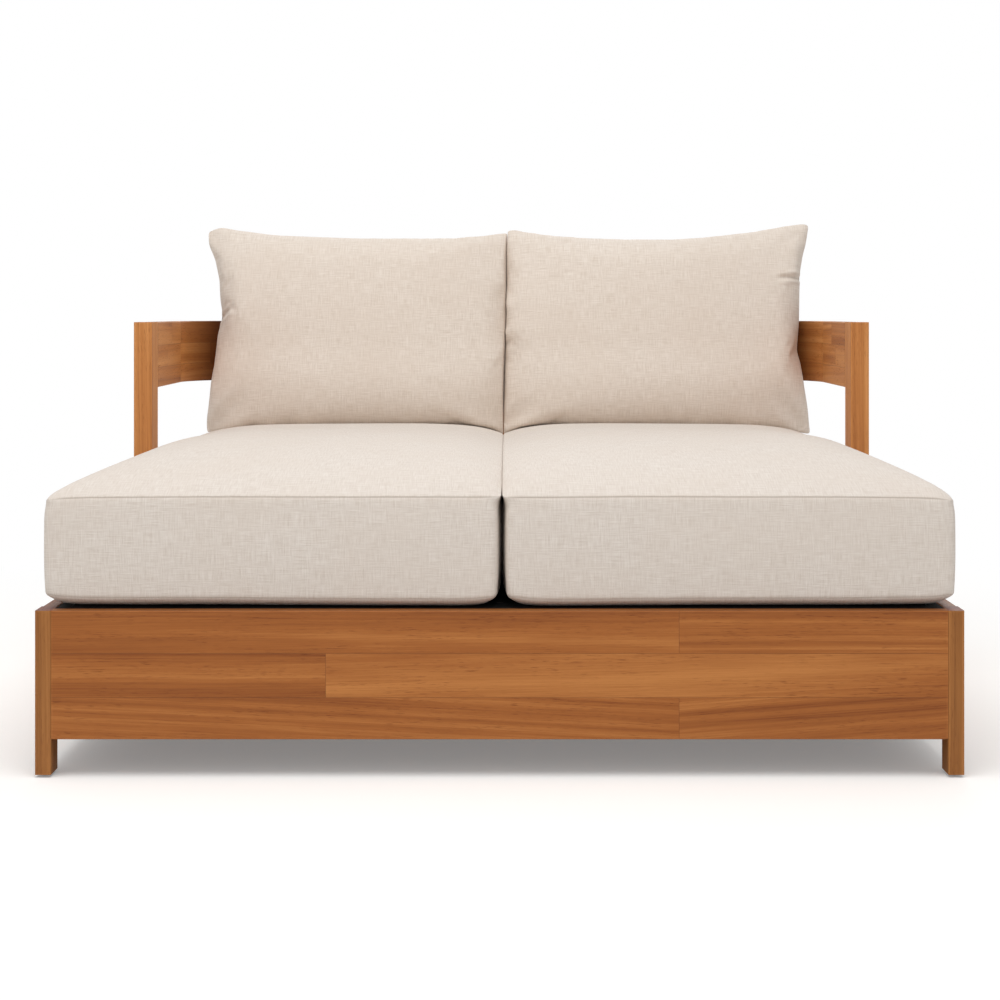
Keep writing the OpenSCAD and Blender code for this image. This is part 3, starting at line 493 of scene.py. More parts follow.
# %% Finishes for the small parts
def flecked_finish(name, codes, flecks, rough, depth, **sockets):
    """A finish of two colours broken up by noise, with its gloss and relief broken up too."""
    finish, tree, shader = new_finish(name, **sockets)
    place = lay(tree, "ShaderNodeTexCoord", out="Object")
    broad = grain_noise(tree, place, flecks / 6, 3.0)
    fine = grain_noise(tree, place, flecks, 3.0, 0.65)
    mixed = calc(tree, "MULTIPLY_ADD", fine, 0.5, calc(tree, "MULTIPLY", broad, 0.5))
    colour = dye(tree, spread(tree, mixed, 0.35, 0.65), paint(codes[0]), paint(codes[1]))
    connect(tree, shader, colour, spread(tree, mixed, 0.35, 0.65, *rough), fine, depth, 0.5)
    return finish


def foam_finish():
    finish, tree, shader = new_finish("pale_foam", Specular_IOR_Level=0.2)
    place = lay(tree, "ShaderNodeTexCoord", out="Object")
    cells = lay(tree, "ShaderNodeTexVoronoi", vcalc(tree, "SCALE", place, None, None, 700.0),
                None, 1.0, feature="F1")
    tint = grain_noise(tree, place, 9.0, 3.0)
    colour = dye(tree, spread(tree, cells, 0.1, 0.7), paint("#d9cfae"), paint("#f1ebd6"))
    colour = dye(tree, spread(tree, tint, 0.4, 0.7, 0.0, 0.3), colour, paint("#e5d4a0"))
    connect(tree, shader, colour, spread(tree, cells, 0.0, 1.0, 0.8, 0.95), cells, 0.0006)
    return finish


small_finishes = {
    "leg_bolts": flecked_finish("zinc", ("#8f9093", "#b9babb"), 220, (0.28, 0.5),
                                0.00005, Metallic=1.0),
    "wood_screws": flecked_finish("yellow_zinc", ("#a98d4e", "#cdb57a"), 240, (0.3, 0.5),
                                  0.00005, Metallic=1.0),
    "foot_glides": flecked_finish("black_glide", ("#171716", "#262524"), 900, (0.42, 0.62),
                                  0.00008, Specular_IOR_Level=0.4),
    "dowels": flecked_finish("beech", ("#cfa777", "#e2c299"), 160, (0.55, 0.7),
                             0.0001, Specular_IOR_Level=0.3),
    "left_seat_foam": foam_finish()}
same_as = {"barrel_nuts": "leg_bolts", "upright_bolts": "leg_bolts", "sleeve_nuts": "leg_bolts",
           "right_seat_foam": "left_seat_foam"}
for node in (*small_finishes, *same_as):
    dress(node, small_finishes[same_as.get(node, node)])
print("Small parts dressed:", len(small_finishes) + len(same_as))

# %% [markdown]
# ## Linen
#
# The covers are a linen-like outdoor cloth. What the eye picks out is not each thread but the
# slubs, the thicker places in the yarn, which lie as faint short streaks along and across the
# cloth. The pattern follows a cloth map in metres, which each panel brings from its flat cut,
# so the streaks bend with the cushion. Single threads are only in the relief.

# %% A linen finish that follows the cloth
THREAD_PITCH = 0.0012


def linen_finish(name, pale, deep, shadow):
    finish, tree, shader = new_finish(name, Specular_IOR_Level=0.22, Sheen_Weight=0.1,
                                      Sheen_Roughness=0.45)
    cloth = lay(tree, "ShaderNodeUVMap", uv_map="weave")
    warp = grain_noise(tree, cloth, (500.0, 34.0, 1.0), 2.0, 0.6)
    weft = grain_noise(tree, cloth, (34.0, 500.0, 1.0), 2.0, 0.6)
    clusters = grain_noise(tree, cloth, (70.0, 70.0, 1.0), 2.0)
    warp = calc(tree, "MULTIPLY", calc(tree, "SUBTRACT", warp, 0.5),
                spread(tree, clusters, 0.4, 0.6, 0.5, 1.0))
    weft = calc(tree, "MULTIPLY", calc(tree, "SUBTRACT", weft, 0.5),
                spread(tree, clusters, 0.4, 0.6, 1.0, 0.5))
    slubs = calc(tree, "ADD", warp, weft)
    colour = dye(tree, spread(tree, slubs, -0.25, 0.25), paint(deep), paint(pale))
    tint = grain_noise(tree, cloth, (7.0, 7.0, 1.0), 3.0)
    colour = dye(tree, spread(tree, tint, 0.35, 0.75, 0.0, 0.35), colour, paint(shadow))
    # Painted shade along the seams: darker where a point carries a seam value, standing in for
    # the groove's shadow
    seam = lay(tree, "ShaderNodeAttribute", out="Fac", attribute_name="seam")
    colour = dye(tree, calc(tree, "MULTIPLY", seam, 0.75), colour, paint("#7a614e"))
    over, under = (calc(tree, "SINE", calc(tree, "MULTIPLY", part, 2 * math.pi / THREAD_PITCH))
                   for part in split(tree, cloth)[:2])
    threads = calc(tree, "MULTIPLY", calc(tree, "MULTIPLY", over, under), 0.3)
    relief = calc(tree, "MULTIPLY_ADD", slubs, 1.6, threads)
    connect(tree, shader, colour, spread(tree, slubs, -0.3, 0.3, 0.95, 0.82), relief, 0.00022,
            0.7)
    return finish


seat_linen = linen_finish("seat_cloth", "#eae2da", "#d4c8bd", "#dccfc3")
# The pillows' cloth is the seats' cloth painted a little paler, standing in for how the light
# falls on the pillows
pillow_linen_painted_paler = linen_finish("pillow_cloth", "#efe5db", "#d8cabc", "#dfd0c2")
print("Linen finishes:", seat_linen.name, "and", pillow_linen_painted_paler.name)

# %% [markdown]
# ## Sewing with grids
#
# Every panel of a cushion is a grid of points. Panels that share a seam share the points
# along it, so the cover is one closed skin. A few short functions do the sewing: they step
# evenly along an edge, fill a grid between four edges, walk round a grid's edge, number the
# points of several grids, and turn grids into faces that carry the cloth map.

# %% Grids of points, their edges and their faces
def measured(line):
    """How far along a line of points each one lies."""
    return np.r_[0, np.cumsum(np.linalg.norm(np.diff(line, axis=0), axis=1))]


def even(points, cells):
    """Points at equal steps along a line."""
    steps = measured(points)
    at = np.linspace(0, steps[-1], cells + 1)
    return np.stack([np.interp(at, steps, points[:, k]) for k in range(points.shape[1])], 1)


def fill_grid(first, last, start, end):
    """A grid between its first and last rows and its first and last columns."""
    u = np.linspace(0, 1, len(first))[None, :, None]
    v = np.linspace(0, 1, len(start))[:, None, None]
    rows = (1 - v) * first[None] + v * last[None]
    columns = (1 - u) * start[:, None] + u * end[:, None]
    corners = ((1 - v) * ((1 - u) * first[0] + u * first[-1])
               + v * ((1 - u) * last[0] + u * last[-1]))
    return rows + columns - corners


def edge_places(grid):
    """Rows and columns of a grid's edge: along the first row, up the last column, and back."""
    up, on = grid.shape[0] - 1, grid.shape[1] - 1
    return (np.r_[np.zeros(on, int), 0:up, np.full(on, up), up:0:-1],
            np.r_[0:on, np.full(up, on), on:0:-1, np.zeros(up, int)])


def edge_of(grid):
    return grid[edge_places(grid)]


def set_edge(grid, values):
    grid[edge_places(grid)] = values


def inside_of(grid):
    """For each place of a grid's edge, what lies one cell in."""
    rows, columns = edge_places(grid)
    return grid[np.clip(rows, 1, grid.shape[0] - 2), np.clip(columns, 1, grid.shape[1] - 2)]


def closed(rings):
    """Rings of points with the first place repeated at the end."""
    return np.concatenate([rings, rings[:, :1]], axis=1)


def strip(*lines):
    """A closed strip between two lines, of point numbers or of places on the cloth."""
    return closed(np.stack(lines))


def corners_of(grid):
    return np.stack([grid[:-1, :-1], grid[:-1, 1:], grid[1:, 1:], grid[1:, :-1]], 2)


def laid_out(*grids):
    """The points of several grids in one list, and the point numbers of each grid."""
    ends = np.cumsum([grid[..., 0].size for grid in grids])
    numbers = [end - grid[..., 0].size + np.arange(grid[..., 0].size).reshape(grid.shape[:-1])
               for grid, end in zip(grids, ends)]
    return np.concatenate([grid.reshape(-1, 3) for grid in grids]), numbers


def sew(name, points, patches, seam_shade=()):
    """One skin from grids of point numbers, each with its own cloth map in metres."""
    faces = np.concatenate([corners_of(index).reshape(-1, 4) for index, cloth in patches])
    cloths = np.concatenate([corners_of(cloth).reshape(-1, 2) for index, cloth in patches])
    mesh = bpy.data.meshes.new(name)
    mesh.from_pydata(points.tolist(), [], faces.tolist())
    weave = mesh.uv_layers.new(name="weave")
    weave.data.foreach_set("uv", cloths.reshape(-1).astype(np.float32))
    # Each point's painted seam shade, nothing away from the seams
    depth = np.zeros(len(points), np.float32)
    for at, value in seam_shade:
        depth[at] = value
    mesh.attributes.new("seam", "FLOAT", "POINT").data.foreach_set("value", depth)
    mesh.shade_smooth()
    return put(name, mesh)


def places_of(piece):
    places = np.empty(len(piece.data.vertices) * 3)
    piece.data.vertices.foreach_get("co", places)
    return places.reshape(-1, 3)


def settle(piece):
    """Applies the modifiers of a piece, so its mesh is final."""
    graph = bpy.context.evaluated_depsgraph_get()
    made = bpy.data.meshes.new_from_object(piece.evaluated_get(graph))
    piece.modifiers.clear()
    piece.data = made
    made.name = piece.name


def thicken(piece, thickness, offset):
    """Gives a sheet its thickness, on one side of it or on both."""
    wall = piece.modifiers.new("wall", "SOLIDIFY")
    wall.thickness, wall.offset = thickness, offset
    settle(piece)


def round_off(piece):
    """Cuts each face of a cover in four, on a smooth surface."""
    rounder = piece.modifiers.new("rounder", "SUBSURF")
    rounder.levels = rounder.render_levels = 1
    settle(piece)


def tell(piece):
    """Prints the size of a finished piece."""
    size = places_of(piece) * 1000
    print(piece.name, len(piece.data.polygons), "faces, from", size.min(0).round(1), "to",
          size.max(0).round(1), "mm")


print("A grid of 3 by 4 points has", len(edge_of(np.zeros((3, 4, 2)))), "places on its edge")

# %% [markdown]
# ## Filling a cover
#
# A cover takes its shape from what is stuffed inside. Cloth simulation with pressure does the
# same: the panels swell, the seams hold them in, and small pulls appear at the corners. The
# cover starts a little too small, gravity is off, and a cap keeps every point near the form
# that the cushion should have.

# %% Inflate a cover and cap how far it moves
def inflate(piece, held, frames, pressure, stiffness, bending, cap):
    """Swells a closed skin. Gives back its points, none of them moved further than the cap."""
    start = places_of(piece)
    cloth = piece.modifiers.new("cloth", "CLOTH")
    settings = cloth.settings
    if len(held):
        group = piece.vertex_groups.new(name="held")
        group.add([int(k) for k in held], 1.0, "REPLACE")
        settings.vertex_group_mass = "held"
    settings.use_pressure = True
    settings.uniform_pressure_force = pressure
    settings.effector_weights.gravity = 0
    settings.tension_stiffness = settings.compression_stiffness = stiffness
    settings.shear_stiffness = stiffness / 3
    settings.bending_stiffness = bending
    settings.tension_damping = settings.compression_damping = 15
    settings.quality = 6
    cloth.collision_settings.use_collision = False
    cloth.point_cache.frame_start = 1
    cloth.point_cache.frame_end = frames
    for step in range(1, frames + 1):
        bpy.context.scene.frame_set(step)
    settle(piece)
    bpy.context.scene.frame_set(1)
    moved = places_of(piece) - start
    far = np.linalg.norm(moved, axis=1, keepdims=True)
    return start + moved * cap * np.tanh(far / cap) / np.maximum(far, 1e-9)


def smooth_step(t):
    t = np.clip(t, 0, 1)
    return t * t * (3 - 2 * t)


def bell(off, width):
    """One at nothing, fading away on both sides of it over the width."""
    return np.exp(-(off / width) ** 2)


def press(value, limit, soft):
    """Keeps a value above a limit, easing over a soft distance."""
    over = value - limit
    return limit + 0.5 * (over + np.sqrt(over * over + soft * soft))


def waves(at, seed, length, count=5):
    """A slow random wave along a line, about one high."""
    rng = np.random.default_rng(seed)
    total = np.zeros_like(at)
    for k in range(count):
        total += (np.sin(2 * math.pi * at / (length * rng.uniform(0.5, 1.8)) + rng.uniform(0, 7))
                  * rng.uniform(0.5, 1.0))
    return total / count


def unit(vectors):
    return vectors / np.maximum(np.linalg.norm(vectors, axis=-1, keepdims=True), 1e-9)


def groove(seam, before, after, reach, depth, roll):
    """Sinks a seam between its neighbours. Gives back it and the two rolls beside it."""
    outward = unit(2 * seam - before - after)
    rolls = [seam + unit(near - seam) * reach + outward * roll for near in (before, after)]
    return seam - outward * depth, *rolls


print("A press to 0 lifts a value of -1 mm to", round(float(press(-1.0, 0.0, 1.0)), 2), "mm")

# %% [markdown]
# ## The deck cloth
#
# A black cloth is stretched over the slats and stapled down at the slats' ends. It lies on
# the slats and sags a hair between them. Two notches let the arm posts through. It is one
# thin sheet, so a grid with the notches left out does it, thickened at the end.

# %% Stretch the deck cloth over the slats
def woven_finish(name, codes, pitch, rough, depth):
    """A plain woven finish on the flat of a piece, from its place in the object."""
    finish, tree, shader = new_finish(name, Specular_IOR_Level=0.3)
    place = lay(tree, "ShaderNodeTexCoord", out="Object")
    x, y, z = (calc(tree, "SINE", calc(tree, "MULTIPLY", part, 2 * math.pi / pitch))
               for part in split(tree, place))
    weave = calc(tree, "MULTIPLY", x, calc(tree, "ADD", y, z))
    broad = grain_noise(tree, place, 9.0, 3.0)
    mixed = calc(tree, "MULTIPLY_ADD", weave, 0.12, broad)
    colour = dye(tree, spread(tree, mixed, 0.3, 0.7), paint(codes[0]), paint(codes[1]))
    connect(tree, shader, colour, spread(tree, mixed, 0.3, 0.7, *rough), weave, depth, 0.6)
    return finish


# The cloth's sag, height and thickness, and the room round an arm post
SAG, DECK_RISE, DECK_THICK, POST_ROOM = 0.0022, 0.0014, 0.0008, 0.0005


def make_deck():
    low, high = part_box("deck_cloth")
    post_low, post_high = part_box("right_arm_post")
    notch_x, notch_low = post_low.x - POST_ROOM, post_low.y - POST_ROOM
    notch_high = post_high.y + POST_ROOM
    half = np.r_[0, np.linspace(0.02, notch_x, 40), high.x]
    xs = np.r_[-half[:0:-1], half]
    slats = sorted((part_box(f"slat_{k}") for k in range(1, 11)), key=lambda b: b[0].y)
    ys = np.unique(np.r_[np.linspace(low.y, high.y, 92), notch_low, notch_high].round(5))
    sag = np.zeros_like(ys)
    for (_, before), (after, _) in zip(slats, slats[1:]):
        share = np.clip((ys - before.y) / (after.y - before.y), 0, 1)
        sag += SAG * 4 * share * (1 - share)
    grid_x, grid_y = np.meshgrid(xs, ys)
    grid_z = low.z + DECK_RISE - sag[:, None] + 0 * grid_x
    points, (index,) = laid_out(np.dstack([grid_x, grid_y, grid_z]))
    cells = corners_of(index).reshape(-1, 4)
    middle = points[cells].mean(axis=1)
    keep = ~((np.abs(middle[:, 0]) > notch_x) & (middle[:, 1] > notch_low)
             & (middle[:, 1] < notch_high))
    used, faces = np.unique(cells[keep], return_inverse=True)
    mesh = bpy.data.meshes.new("deck_sheet")
    mesh.from_pydata(points[used].tolist(), [], faces.reshape(-1, 4).tolist())
    mesh.materials.append(woven_finish("deck_weave", ("#101211", "#1c1e1c"), 0.0016, (0.75, 0.9),
                                       0.00012))
    piece = put("deck_sheet", mesh)
    thicken(piece, DECK_THICK, -1)
    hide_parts("deck_cloth")
    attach(piece, "frame")
    return piece, slats


deck, slats = make_deck()
print("The deck cloth has", len(deck.data.polygons), "faces over", len(slats), "slats")

# %% [markdown]
# ## Seat cushions
#
# Each seat cushion is a boxed one: a top panel, a bottom panel and a boxing strip between two
# seams. The top is crowned by the foam and wadding, the boxing bulges a little, and the lower
# edge rolls under to a flat that rests on the deck. Behind the shoulder it narrows to pass
# between the arm posts.

# %% The seat cushion's outline
def arc_line(x, y, radius, start, end):
    turn = np.radians(np.linspace(start, end, 10))
    return np.stack([x + radius * np.cos(turn), y + radius * np.sin(turn)], 1)


seat_low, seat_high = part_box("right_seat_cushion")
post_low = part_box("right_arm_post")[0]
# The corner's radius, and where a cushion narrows for the arm post
CORNER, NARROW_X, SHOULDER = 0.008, post_low.x - 0.001, (post_low.y - 0.075, post_low.y - 0.015)
# Half the gap between the seats, how far the arm side swells out, the notch between the front
# corners, and how far the front and the arm side draw in between their corners
MEET_X, OUT, FRONT_GAP, DRAW = 0.0001, 0.0055, 0.0022, 0.004


def seat_outline():
    """The four edge lines of a seat cushion in plan, each from corner to corner."""
    r, t = CORNER, np.linspace(0, 1, 160)[1:-1, None]
    x0, y0, x1, y1, xn = seat_low.x, seat_low.y, seat_high.x + OUT, seat_high.y, NARROW_X
    xf = x0 + FRONT_GAP
    draw = np.sin(math.pi * t) * DRAW
    close = (x0 - MEET_X) * (smooth_step(t / 0.14) - smooth_step((t - 0.93) / 0.07))
    close -= FRONT_GAP * (1 - smooth_step(t / 0.12))
    front = np.concatenate([arc_line(xf + r, y0 + r, r, 225, 270),
                            np.hstack([xf + r + t * (x1 - xf - 2 * r), y0 + draw]),
                            arc_line(x1 - r, y0 + r, r, 270, 315)])
    y = y0 + r + t * (y1 - y0 - 2 * r)
    side = x1 - (x1 - xn) * smooth_step((y - SHOULDER[0]) / (SHOULDER[1] - SHOULDER[0]))
    outer = np.concatenate([arc_line(x1 - r, y0 + r, r, 315, 360),
                            np.hstack([side - draw / 2, y]),
                            arc_line(xn - r, y1 - r, r, 0, 45)])
    rear = np.concatenate([arc_line(xn - r, y1 - r, r, 45, 90),
                           np.hstack([xn - r - t * (xn - x0 - 2 * r), y1 + 0 * t]),
                           arc_line(x0 + r, y1 - r, r, 90, 135)])
    inner = np.concatenate([arc_line(x0 + r, y1 - r, r, 135, 180),
                            np.hstack([x0 - close, y])[::-1],
                            arc_line(xf + r, y0 + r, r, 180, 225)])
    return front, outer, rear, inner


ACROSS, ALONG, BANDS = 64, 112, 15
outline = np.concatenate([even(line, cells)[:-1] for line, cells in
                          zip(seat_outline(), (ACROSS, ALONG, ACROSS, ALONG))])
print("The seat's outline has", len(outline), "points, about",
      round(float(np.linalg.norm(outline[1] - outline[2])) * 1000, 1), "mm apart")

# %% The seat cushion's panels
# Heights of the lower edge's roll, the boxing, the crown and its rise at the inner side, then
# how far the two seams lie inside the outline, and the width of the roll
UNDER, BOXING, CROWN, INNER_RISE = 0.014, 0.162, 0.055, 0.034
LOW_IN, TOP_IN, UNDER_WIDE = 0.002, 0.001, 0.040
seat_middle = np.array([(seat_low.x + seat_high.x) / 2, (seat_low.y + seat_high.y) / 2])
seat_half = np.array([(seat_high.x - seat_low.x) / 2, (seat_high.y - seat_low.y) / 2])


def inset(ring, by):
    return seat_middle + (ring - seat_middle) * (1 - by / seat_half)


def panel_grid(ring):
    front, outer = ring[:ACROSS + 1], ring[ACROSS:ACROSS + ALONG + 1]
    rear = ring[ACROSS + ALONG:2 * ACROSS + ALONG + 1][::-1]
    inner = np.concatenate([ring[2 * ACROSS + ALONG:], ring[:1]])[::-1]
    return fill_grid(front, rear, inner, outer)


def shares():
    """How far in each place of a panel lies from the sides and from the ends, 0 to 1."""
    u, v = np.linspace(-1, 1, ACROSS + 1)[None], np.linspace(-1, 1, ALONG + 1)[:, None]
    return 1 - np.abs(u) + 0 * v, 1 - np.abs(v) + 0 * u


def seat_start(slim, side):
    """Top, boxing rings and bottom of a seat cushion, smaller by slim all round."""
    from_side, from_end = shares()
    power = np.where(np.arange(ALONG + 1)[:, None] > ALONG / 2, 5.0, 3.2)
    squeezed = INNER_RISE * (1 - (1 - from_end[:, 0]) ** power[:, 0])
    fuller = np.where(np.arange(ACROSS + 1)[None] > ACROSS / 2, 4.0 + 0.5 * (1 + side), 5.0)
    rise = [np.maximum(1 - (1 - share) ** steep, 1e-3)
            for share, steep in ((from_side, fuller), (from_end, power))]
    dome = np.maximum(rise[0] ** -3 + rise[1] ** -3 - 1, 1) ** (-1 / 3)
    dome[(from_side <= 0) | (from_end <= 0)] = 0
    seam_z = seat_low.z + UNDER + BOXING - slim / 2
    base = squeezed[:, None] * (1 - np.linspace(0, 1, ACROSS + 1)) ** 1.5
    top = np.dstack([panel_grid(inset(outline, TOP_IN + slim)),
                     seam_z + base + (CROWN - slim - base) * dome])
    depth = np.minimum(from_side * seat_half[0], from_end * seat_half[1])
    lift = UNDER * (1 - np.clip(depth / UNDER_WIDE, 0, 1)) ** 2.8
    bottom = np.dstack([panel_grid(inset(outline, LOW_IN + slim)), seat_low.z + lift])
    rings = []
    for band in range(BANDS + 1):
        share = band / BANDS
        by = (LOW_IN if share < 0.5 else TOP_IN) * (2 * share - 1) ** 2 + slim
        height = seat_low.z + UNDER + (seam_z + edge_of(base) - seat_low.z - UNDER) * share
        rings.append(np.column_stack([inset(outline, by), height]))
    return top, np.array(rings), bottom


print("Cells of a seat panel:", ACROSS, "by", ALONG, "and", BANDS, "bands of boxing")

# %% Swell a seat cushion
round_length = measured(np.vstack([outline, outline[:1]]))
# How much smaller a cover starts, and how far its top and its boxing swell
SLIM, TOP_SWELL, BOXING_SWELL = 0.004, 0.004, 0.0022


def without_edge(moves):
    """What is left of a panel's moves when its seams stay where they are."""
    return moves - fill_grid(moves[0], moves[-1], moves[:, 0], moves[:, -1])


def swell_seat(side):
    """The panels of one seat cushion, with the swelling that its filling gives them."""
    full_top, full_rings, full_bottom = seat_start(0.0, side)
    top, rings, bottom = seat_start(SLIM, side)
    points, (top_at, low_at, band_at) = laid_out(top, bottom, rings[1:-1])
    rows = closed(np.concatenate([edge_of(low_at)[None], band_at, edge_of(top_at)[None]]))
    points *= (1 + side * 1e-4, 1, 1)
    flat = [(grid, np.zeros((*grid.shape, 2))) for grid in (top_at, low_at[::-1], rows)]
    cover = sew("cover", points, flat)
    held = low_at[3:-3, 3:-3].reshape(-1)
    moves = inflate(cover, held, 12, 3.0, 15.0, 0.8, 0.012) - points
    bpy.data.objects.remove(cover)
    top_moves = without_edge(moves[top_at])
    share = np.linspace(0, 1, BANDS + 1)[1:-1, None, None]
    upper, lower = moves[edge_of(top_at)], moves[edge_of(low_at)]
    band_moves = moves[band_at] - lower - share * (upper - lower)
    print("Swelling of the top and of the boxing, in mm:",
          (np.abs(top_moves).max() * 1000).round(1), (np.abs(band_moves).max() * 1000).round(1))
    full_top += top_moves * TOP_SWELL / np.abs(top_moves).max()
    full_rings[1:-1] += band_moves * BOXING_SWELL / np.abs(band_moves).max()
    return full_top, full_rings, full_bottom


print("The boxing strip is", round(round_length[-1], 2), "m long")

# %% [markdown]
# A filled cover still lacks what hands and use give it. The corners lift where the roll of
# the lower edge meets them, a small pucker forms under each upper corner, and the front edge
# rises towards the arms, where the deck carries it less. Along the front and the arm the
# boxing rolls in under the upper seam, and where the seats meet they press each other flat.

# %% Shape the corners and the front edge
CORNERS = outline[[0, ACROSS, ACROSS + ALONG, 2 * ACROSS + ALONG]]
# Depths of the small changes below, in metres
LIFT, FRONT_LIFT, EDGE_WAVE = 0.008, 0.005, 0.0009
PUCKER, EAR, PRESSED, ARM_DROP, ROLL_IN = 0.004, 0.0018, 0.009, 0.003, 0.0022
SEAM_WAVE, SEAM_DROP = 0.0012, 0.002


def wear_in(points, side):
    """Small changes of form, for points of any grid."""
    points = points.copy()
    near = np.linalg.norm(points[..., None, :2] - CORNERS, axis=-1).min(axis=-1)
    up = points[..., 2] - seat_low.z
    above = up - (UNDER + BOXING)
    # The lower edge lifts at the corners, and along the front towards the arm
    points[..., 2] += LIFT * bell(near, 0.03) * np.clip(1 - up / 0.045, 0, 1) ** 1.5
    along = (points[..., 0] - seat_low.x) / (seat_high.x - seat_low.x)
    front = np.clip(1 - (points[..., 1] - seat_low.y) / 0.09, 0, 1) ** 1.5
    rise = FRONT_LIFT * np.clip(along if side < 0 else along - 0.05, 0, 1) ** 1.6
    rise = rise + EDGE_WAVE * (1 + waves(points[..., 0], 5 + side, 0.3))
    points[..., 2] += rise * front * np.clip(1 - up / 0.07, 0, 1)
    # A pucker under each upper corner, and a small ear on it
    inward = unit(seat_middle - points[..., :2])
    pucker = PUCKER * bell(near, 0.016) * bell(above + 0.012, 0.007)
    ear = EAR * bell(near, 0.014) * bell(above, 0.004)
    points[..., :2] += inward * (pucker - ear)[..., None]
    # The neighbour presses the upper part of the inner side flat
    over = np.maximum(points[..., 0] - MEET_X, 0)
    over = np.minimum(over, PRESSED) * bell(over, 0.03)
    points[..., 0] -= over * smooth_step((above + 0.011) / 0.009)
    # The upper corner at the arm drops, and the boxing rolls in under the upper seam
    arm = np.linalg.norm(points[..., :2] - CORNERS[1], axis=-1)
    points[..., 2] -= ARM_DROP * smooth_step((above + 0.012) / 0.014) * bell(arm, 0.02)
    roll = ROLL_IN * np.clip((above + 0.022) / 0.022, 0, 1) ** 2
    points[..., 1] += roll * (1 - smooth_step((points[..., 1] - seat_low.y) / 0.03))
    points[..., 0] -= roll * (1 - smooth_step((seat_high.x + OUT - points[..., 0]) / 0.03))
    # The upper seam is not quite straight
    length = points[..., 0] + 1.3 * points[..., 1]
    points[..., 2] += (SEAM_WAVE * waves(length, 11 + side, 0.42)
                       - SEAM_DROP * bell(near, 0.05) * (along > 0.5)) * bell(above, 0.02)
    return points


def keep_clear(points):
    """Holds a cushion off its neighbour, the arm posts, the deck and the zip's bed."""
    x, y, z = points[..., 0], points[..., 1], points[..., 2]
    x = np.maximum(x, MEET_X)
    x = np.where(y > SHOULDER[1] - 0.012, np.minimum(x, NARROW_X + 0.0004), x)
    x = np.minimum(x, seat_high.x + 0.006)
    z = np.maximum(z, seat_low.z - 0.0001)
    zip_low, zip_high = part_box("right_seat_zip")
    middle = (zip_low + zip_high) / 2
    beside = np.maximum(np.abs(z - middle.z) - 0.025, np.abs(x - middle.x) - 0.292)
    y = np.minimum(y, zip_low.y - 0.0003 + np.clip(beside, 0, 0.01) * 0.5)
    return np.stack([x, y, z], -1)


print("Corners of a seat cushion:", len(CORNERS))

# %% Finish the seat cushions with their seams
# The two seats meet a little to the right of the middle
SEAT_LINE = 0.0033
GROOVE_REACH, TOP_GROOVE, LOW_GROOVE = 0.0014, 0.0026, 0.0022


def make_seat(side):
    name = ("left" if side < 0 else "right") + "_seat"
    top, rings, bottom = (wear_in(part, side) for part in swell_seat(side))
    set_edge(bottom, rings[0])
    set_edge(top, rings[-1])
    upper, lower = rings[-1].copy(), rings[0].copy()
    roll = 0.0007 + 0.0004 * waves(round_length[:-1], 21 + side, 0.05)[:, None]
    # The upper seam has no groove along the inner side, and no painted seam shade there or at the
    # arm's corner
    apart = 1 - bell(upper[:, :1], 0.012)
    fade = 1 - bell(np.linalg.norm(outline - CORNERS[1], axis=1), 0.022)
    sunk_up, box_up, roll_top = groove(upper, rings[-2], inside_of(top), GROOVE_REACH,
                                       TOP_GROOVE * apart + 0.0002, roll * apart)
    sunk_low, roll_low, box_low = groove(lower, inside_of(bottom), rings[1], GROOVE_REACH,
                                         LOW_GROOVE, roll)
    shift = np.array([3.1 + 2.3 * side, 0.7 + 0.4 * side])
    top_map, low_map = top[..., :2] + shift, bottom[..., :2] - shift
    set_edge(top_map, roll_top[:, :2] + shift)
    set_edge(low_map, roll_low[:, :2] - shift)
    set_edge(top, roll_top)
    set_edge(bottom, roll_low)
    bands = np.concatenate([sunk_low[None], box_low[None], rings[1:-1], box_up[None],
                            sunk_up[None]])
    points, (top_at, low_at, band_at) = laid_out(top, bottom, bands)
    band_at = closed(band_at)
    heights = np.r_[0, GROOVE_REACH, np.linspace(0, BOXING, BANDS + 1)[1:-1],
                    BOXING - GROOVE_REACH, BOXING]
    band_map = np.dstack(np.meshgrid(round_length + shift[0], heights + shift[1]))
    patches = [(top_at, top_map),
               (strip(band_at[-1, :-1], edge_of(top_at)),
                strip(upper[:, :2] + shift, edge_of(top_map))),
               (band_at, band_map),
               (strip(edge_of(low_at), band_at[0, :-1]),
                strip(edge_of(low_map), lower[:, :2] - shift)),
               (low_at[::-1], low_map[::-1])]
    points = keep_clear(points)
    if side < 0:
        points *= (-1, 1, 1)
        patches = [(grid[:, ::-1], cloth[:, ::-1]) for grid, cloth in patches]
    points[:, 0] += SEAT_LINE * bell(points[:, 0], 0.1)
    # The upper and lower seams carry painted shade, a dark line for their grooves
    piece = sew(f"{name}_cover", points, patches,
                [(band_at[-1, :-1], 0.8 * apart[:, 0] * fade), (band_at[0, :-1], 0.35)])
    piece.data.materials.append(seat_linen)
    round_off(piece)
    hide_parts(f"{name}_cushion")
    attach(piece, name)
    return piece


seats = {side: make_seat(side) for side in (-1, 1)}
for piece in seats.values():
    tell(piece)

# %% [markdown]
# ## Back pillows
#
# The back pillows are two rectangles of linen sewn round the rim and stuffed with fibre. Their
# corners stand out as ears while the edges draw in between them, and where the two pillows
# meet they press on each other along a thin wavy line. The rim is drawn first, the cover is
# swollen by simulation, and then its rim is brought onto the drawn one.

# %% Feel the seat's crown
def feel(piece):
    return BVHTree.FromPolygons(places_of(piece).tolist(),
                                [tuple(face.vertices) for face in piece.data.polygons])


crowns = {side: feel(piece) for side, piece in seats.items()}
rail_low, rail_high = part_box("back_rail")
bend_middle = (rail_high.x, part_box("right_corner_bend")[0].y)
bend_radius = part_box("right_arm_rail")[0].x - bend_middle[0]


# How near to the seats' meeting line, how far from it and how far back the crown is felt
NEAREST, FURTHEST, REARMOST = 0.003, 0.68, 0.566


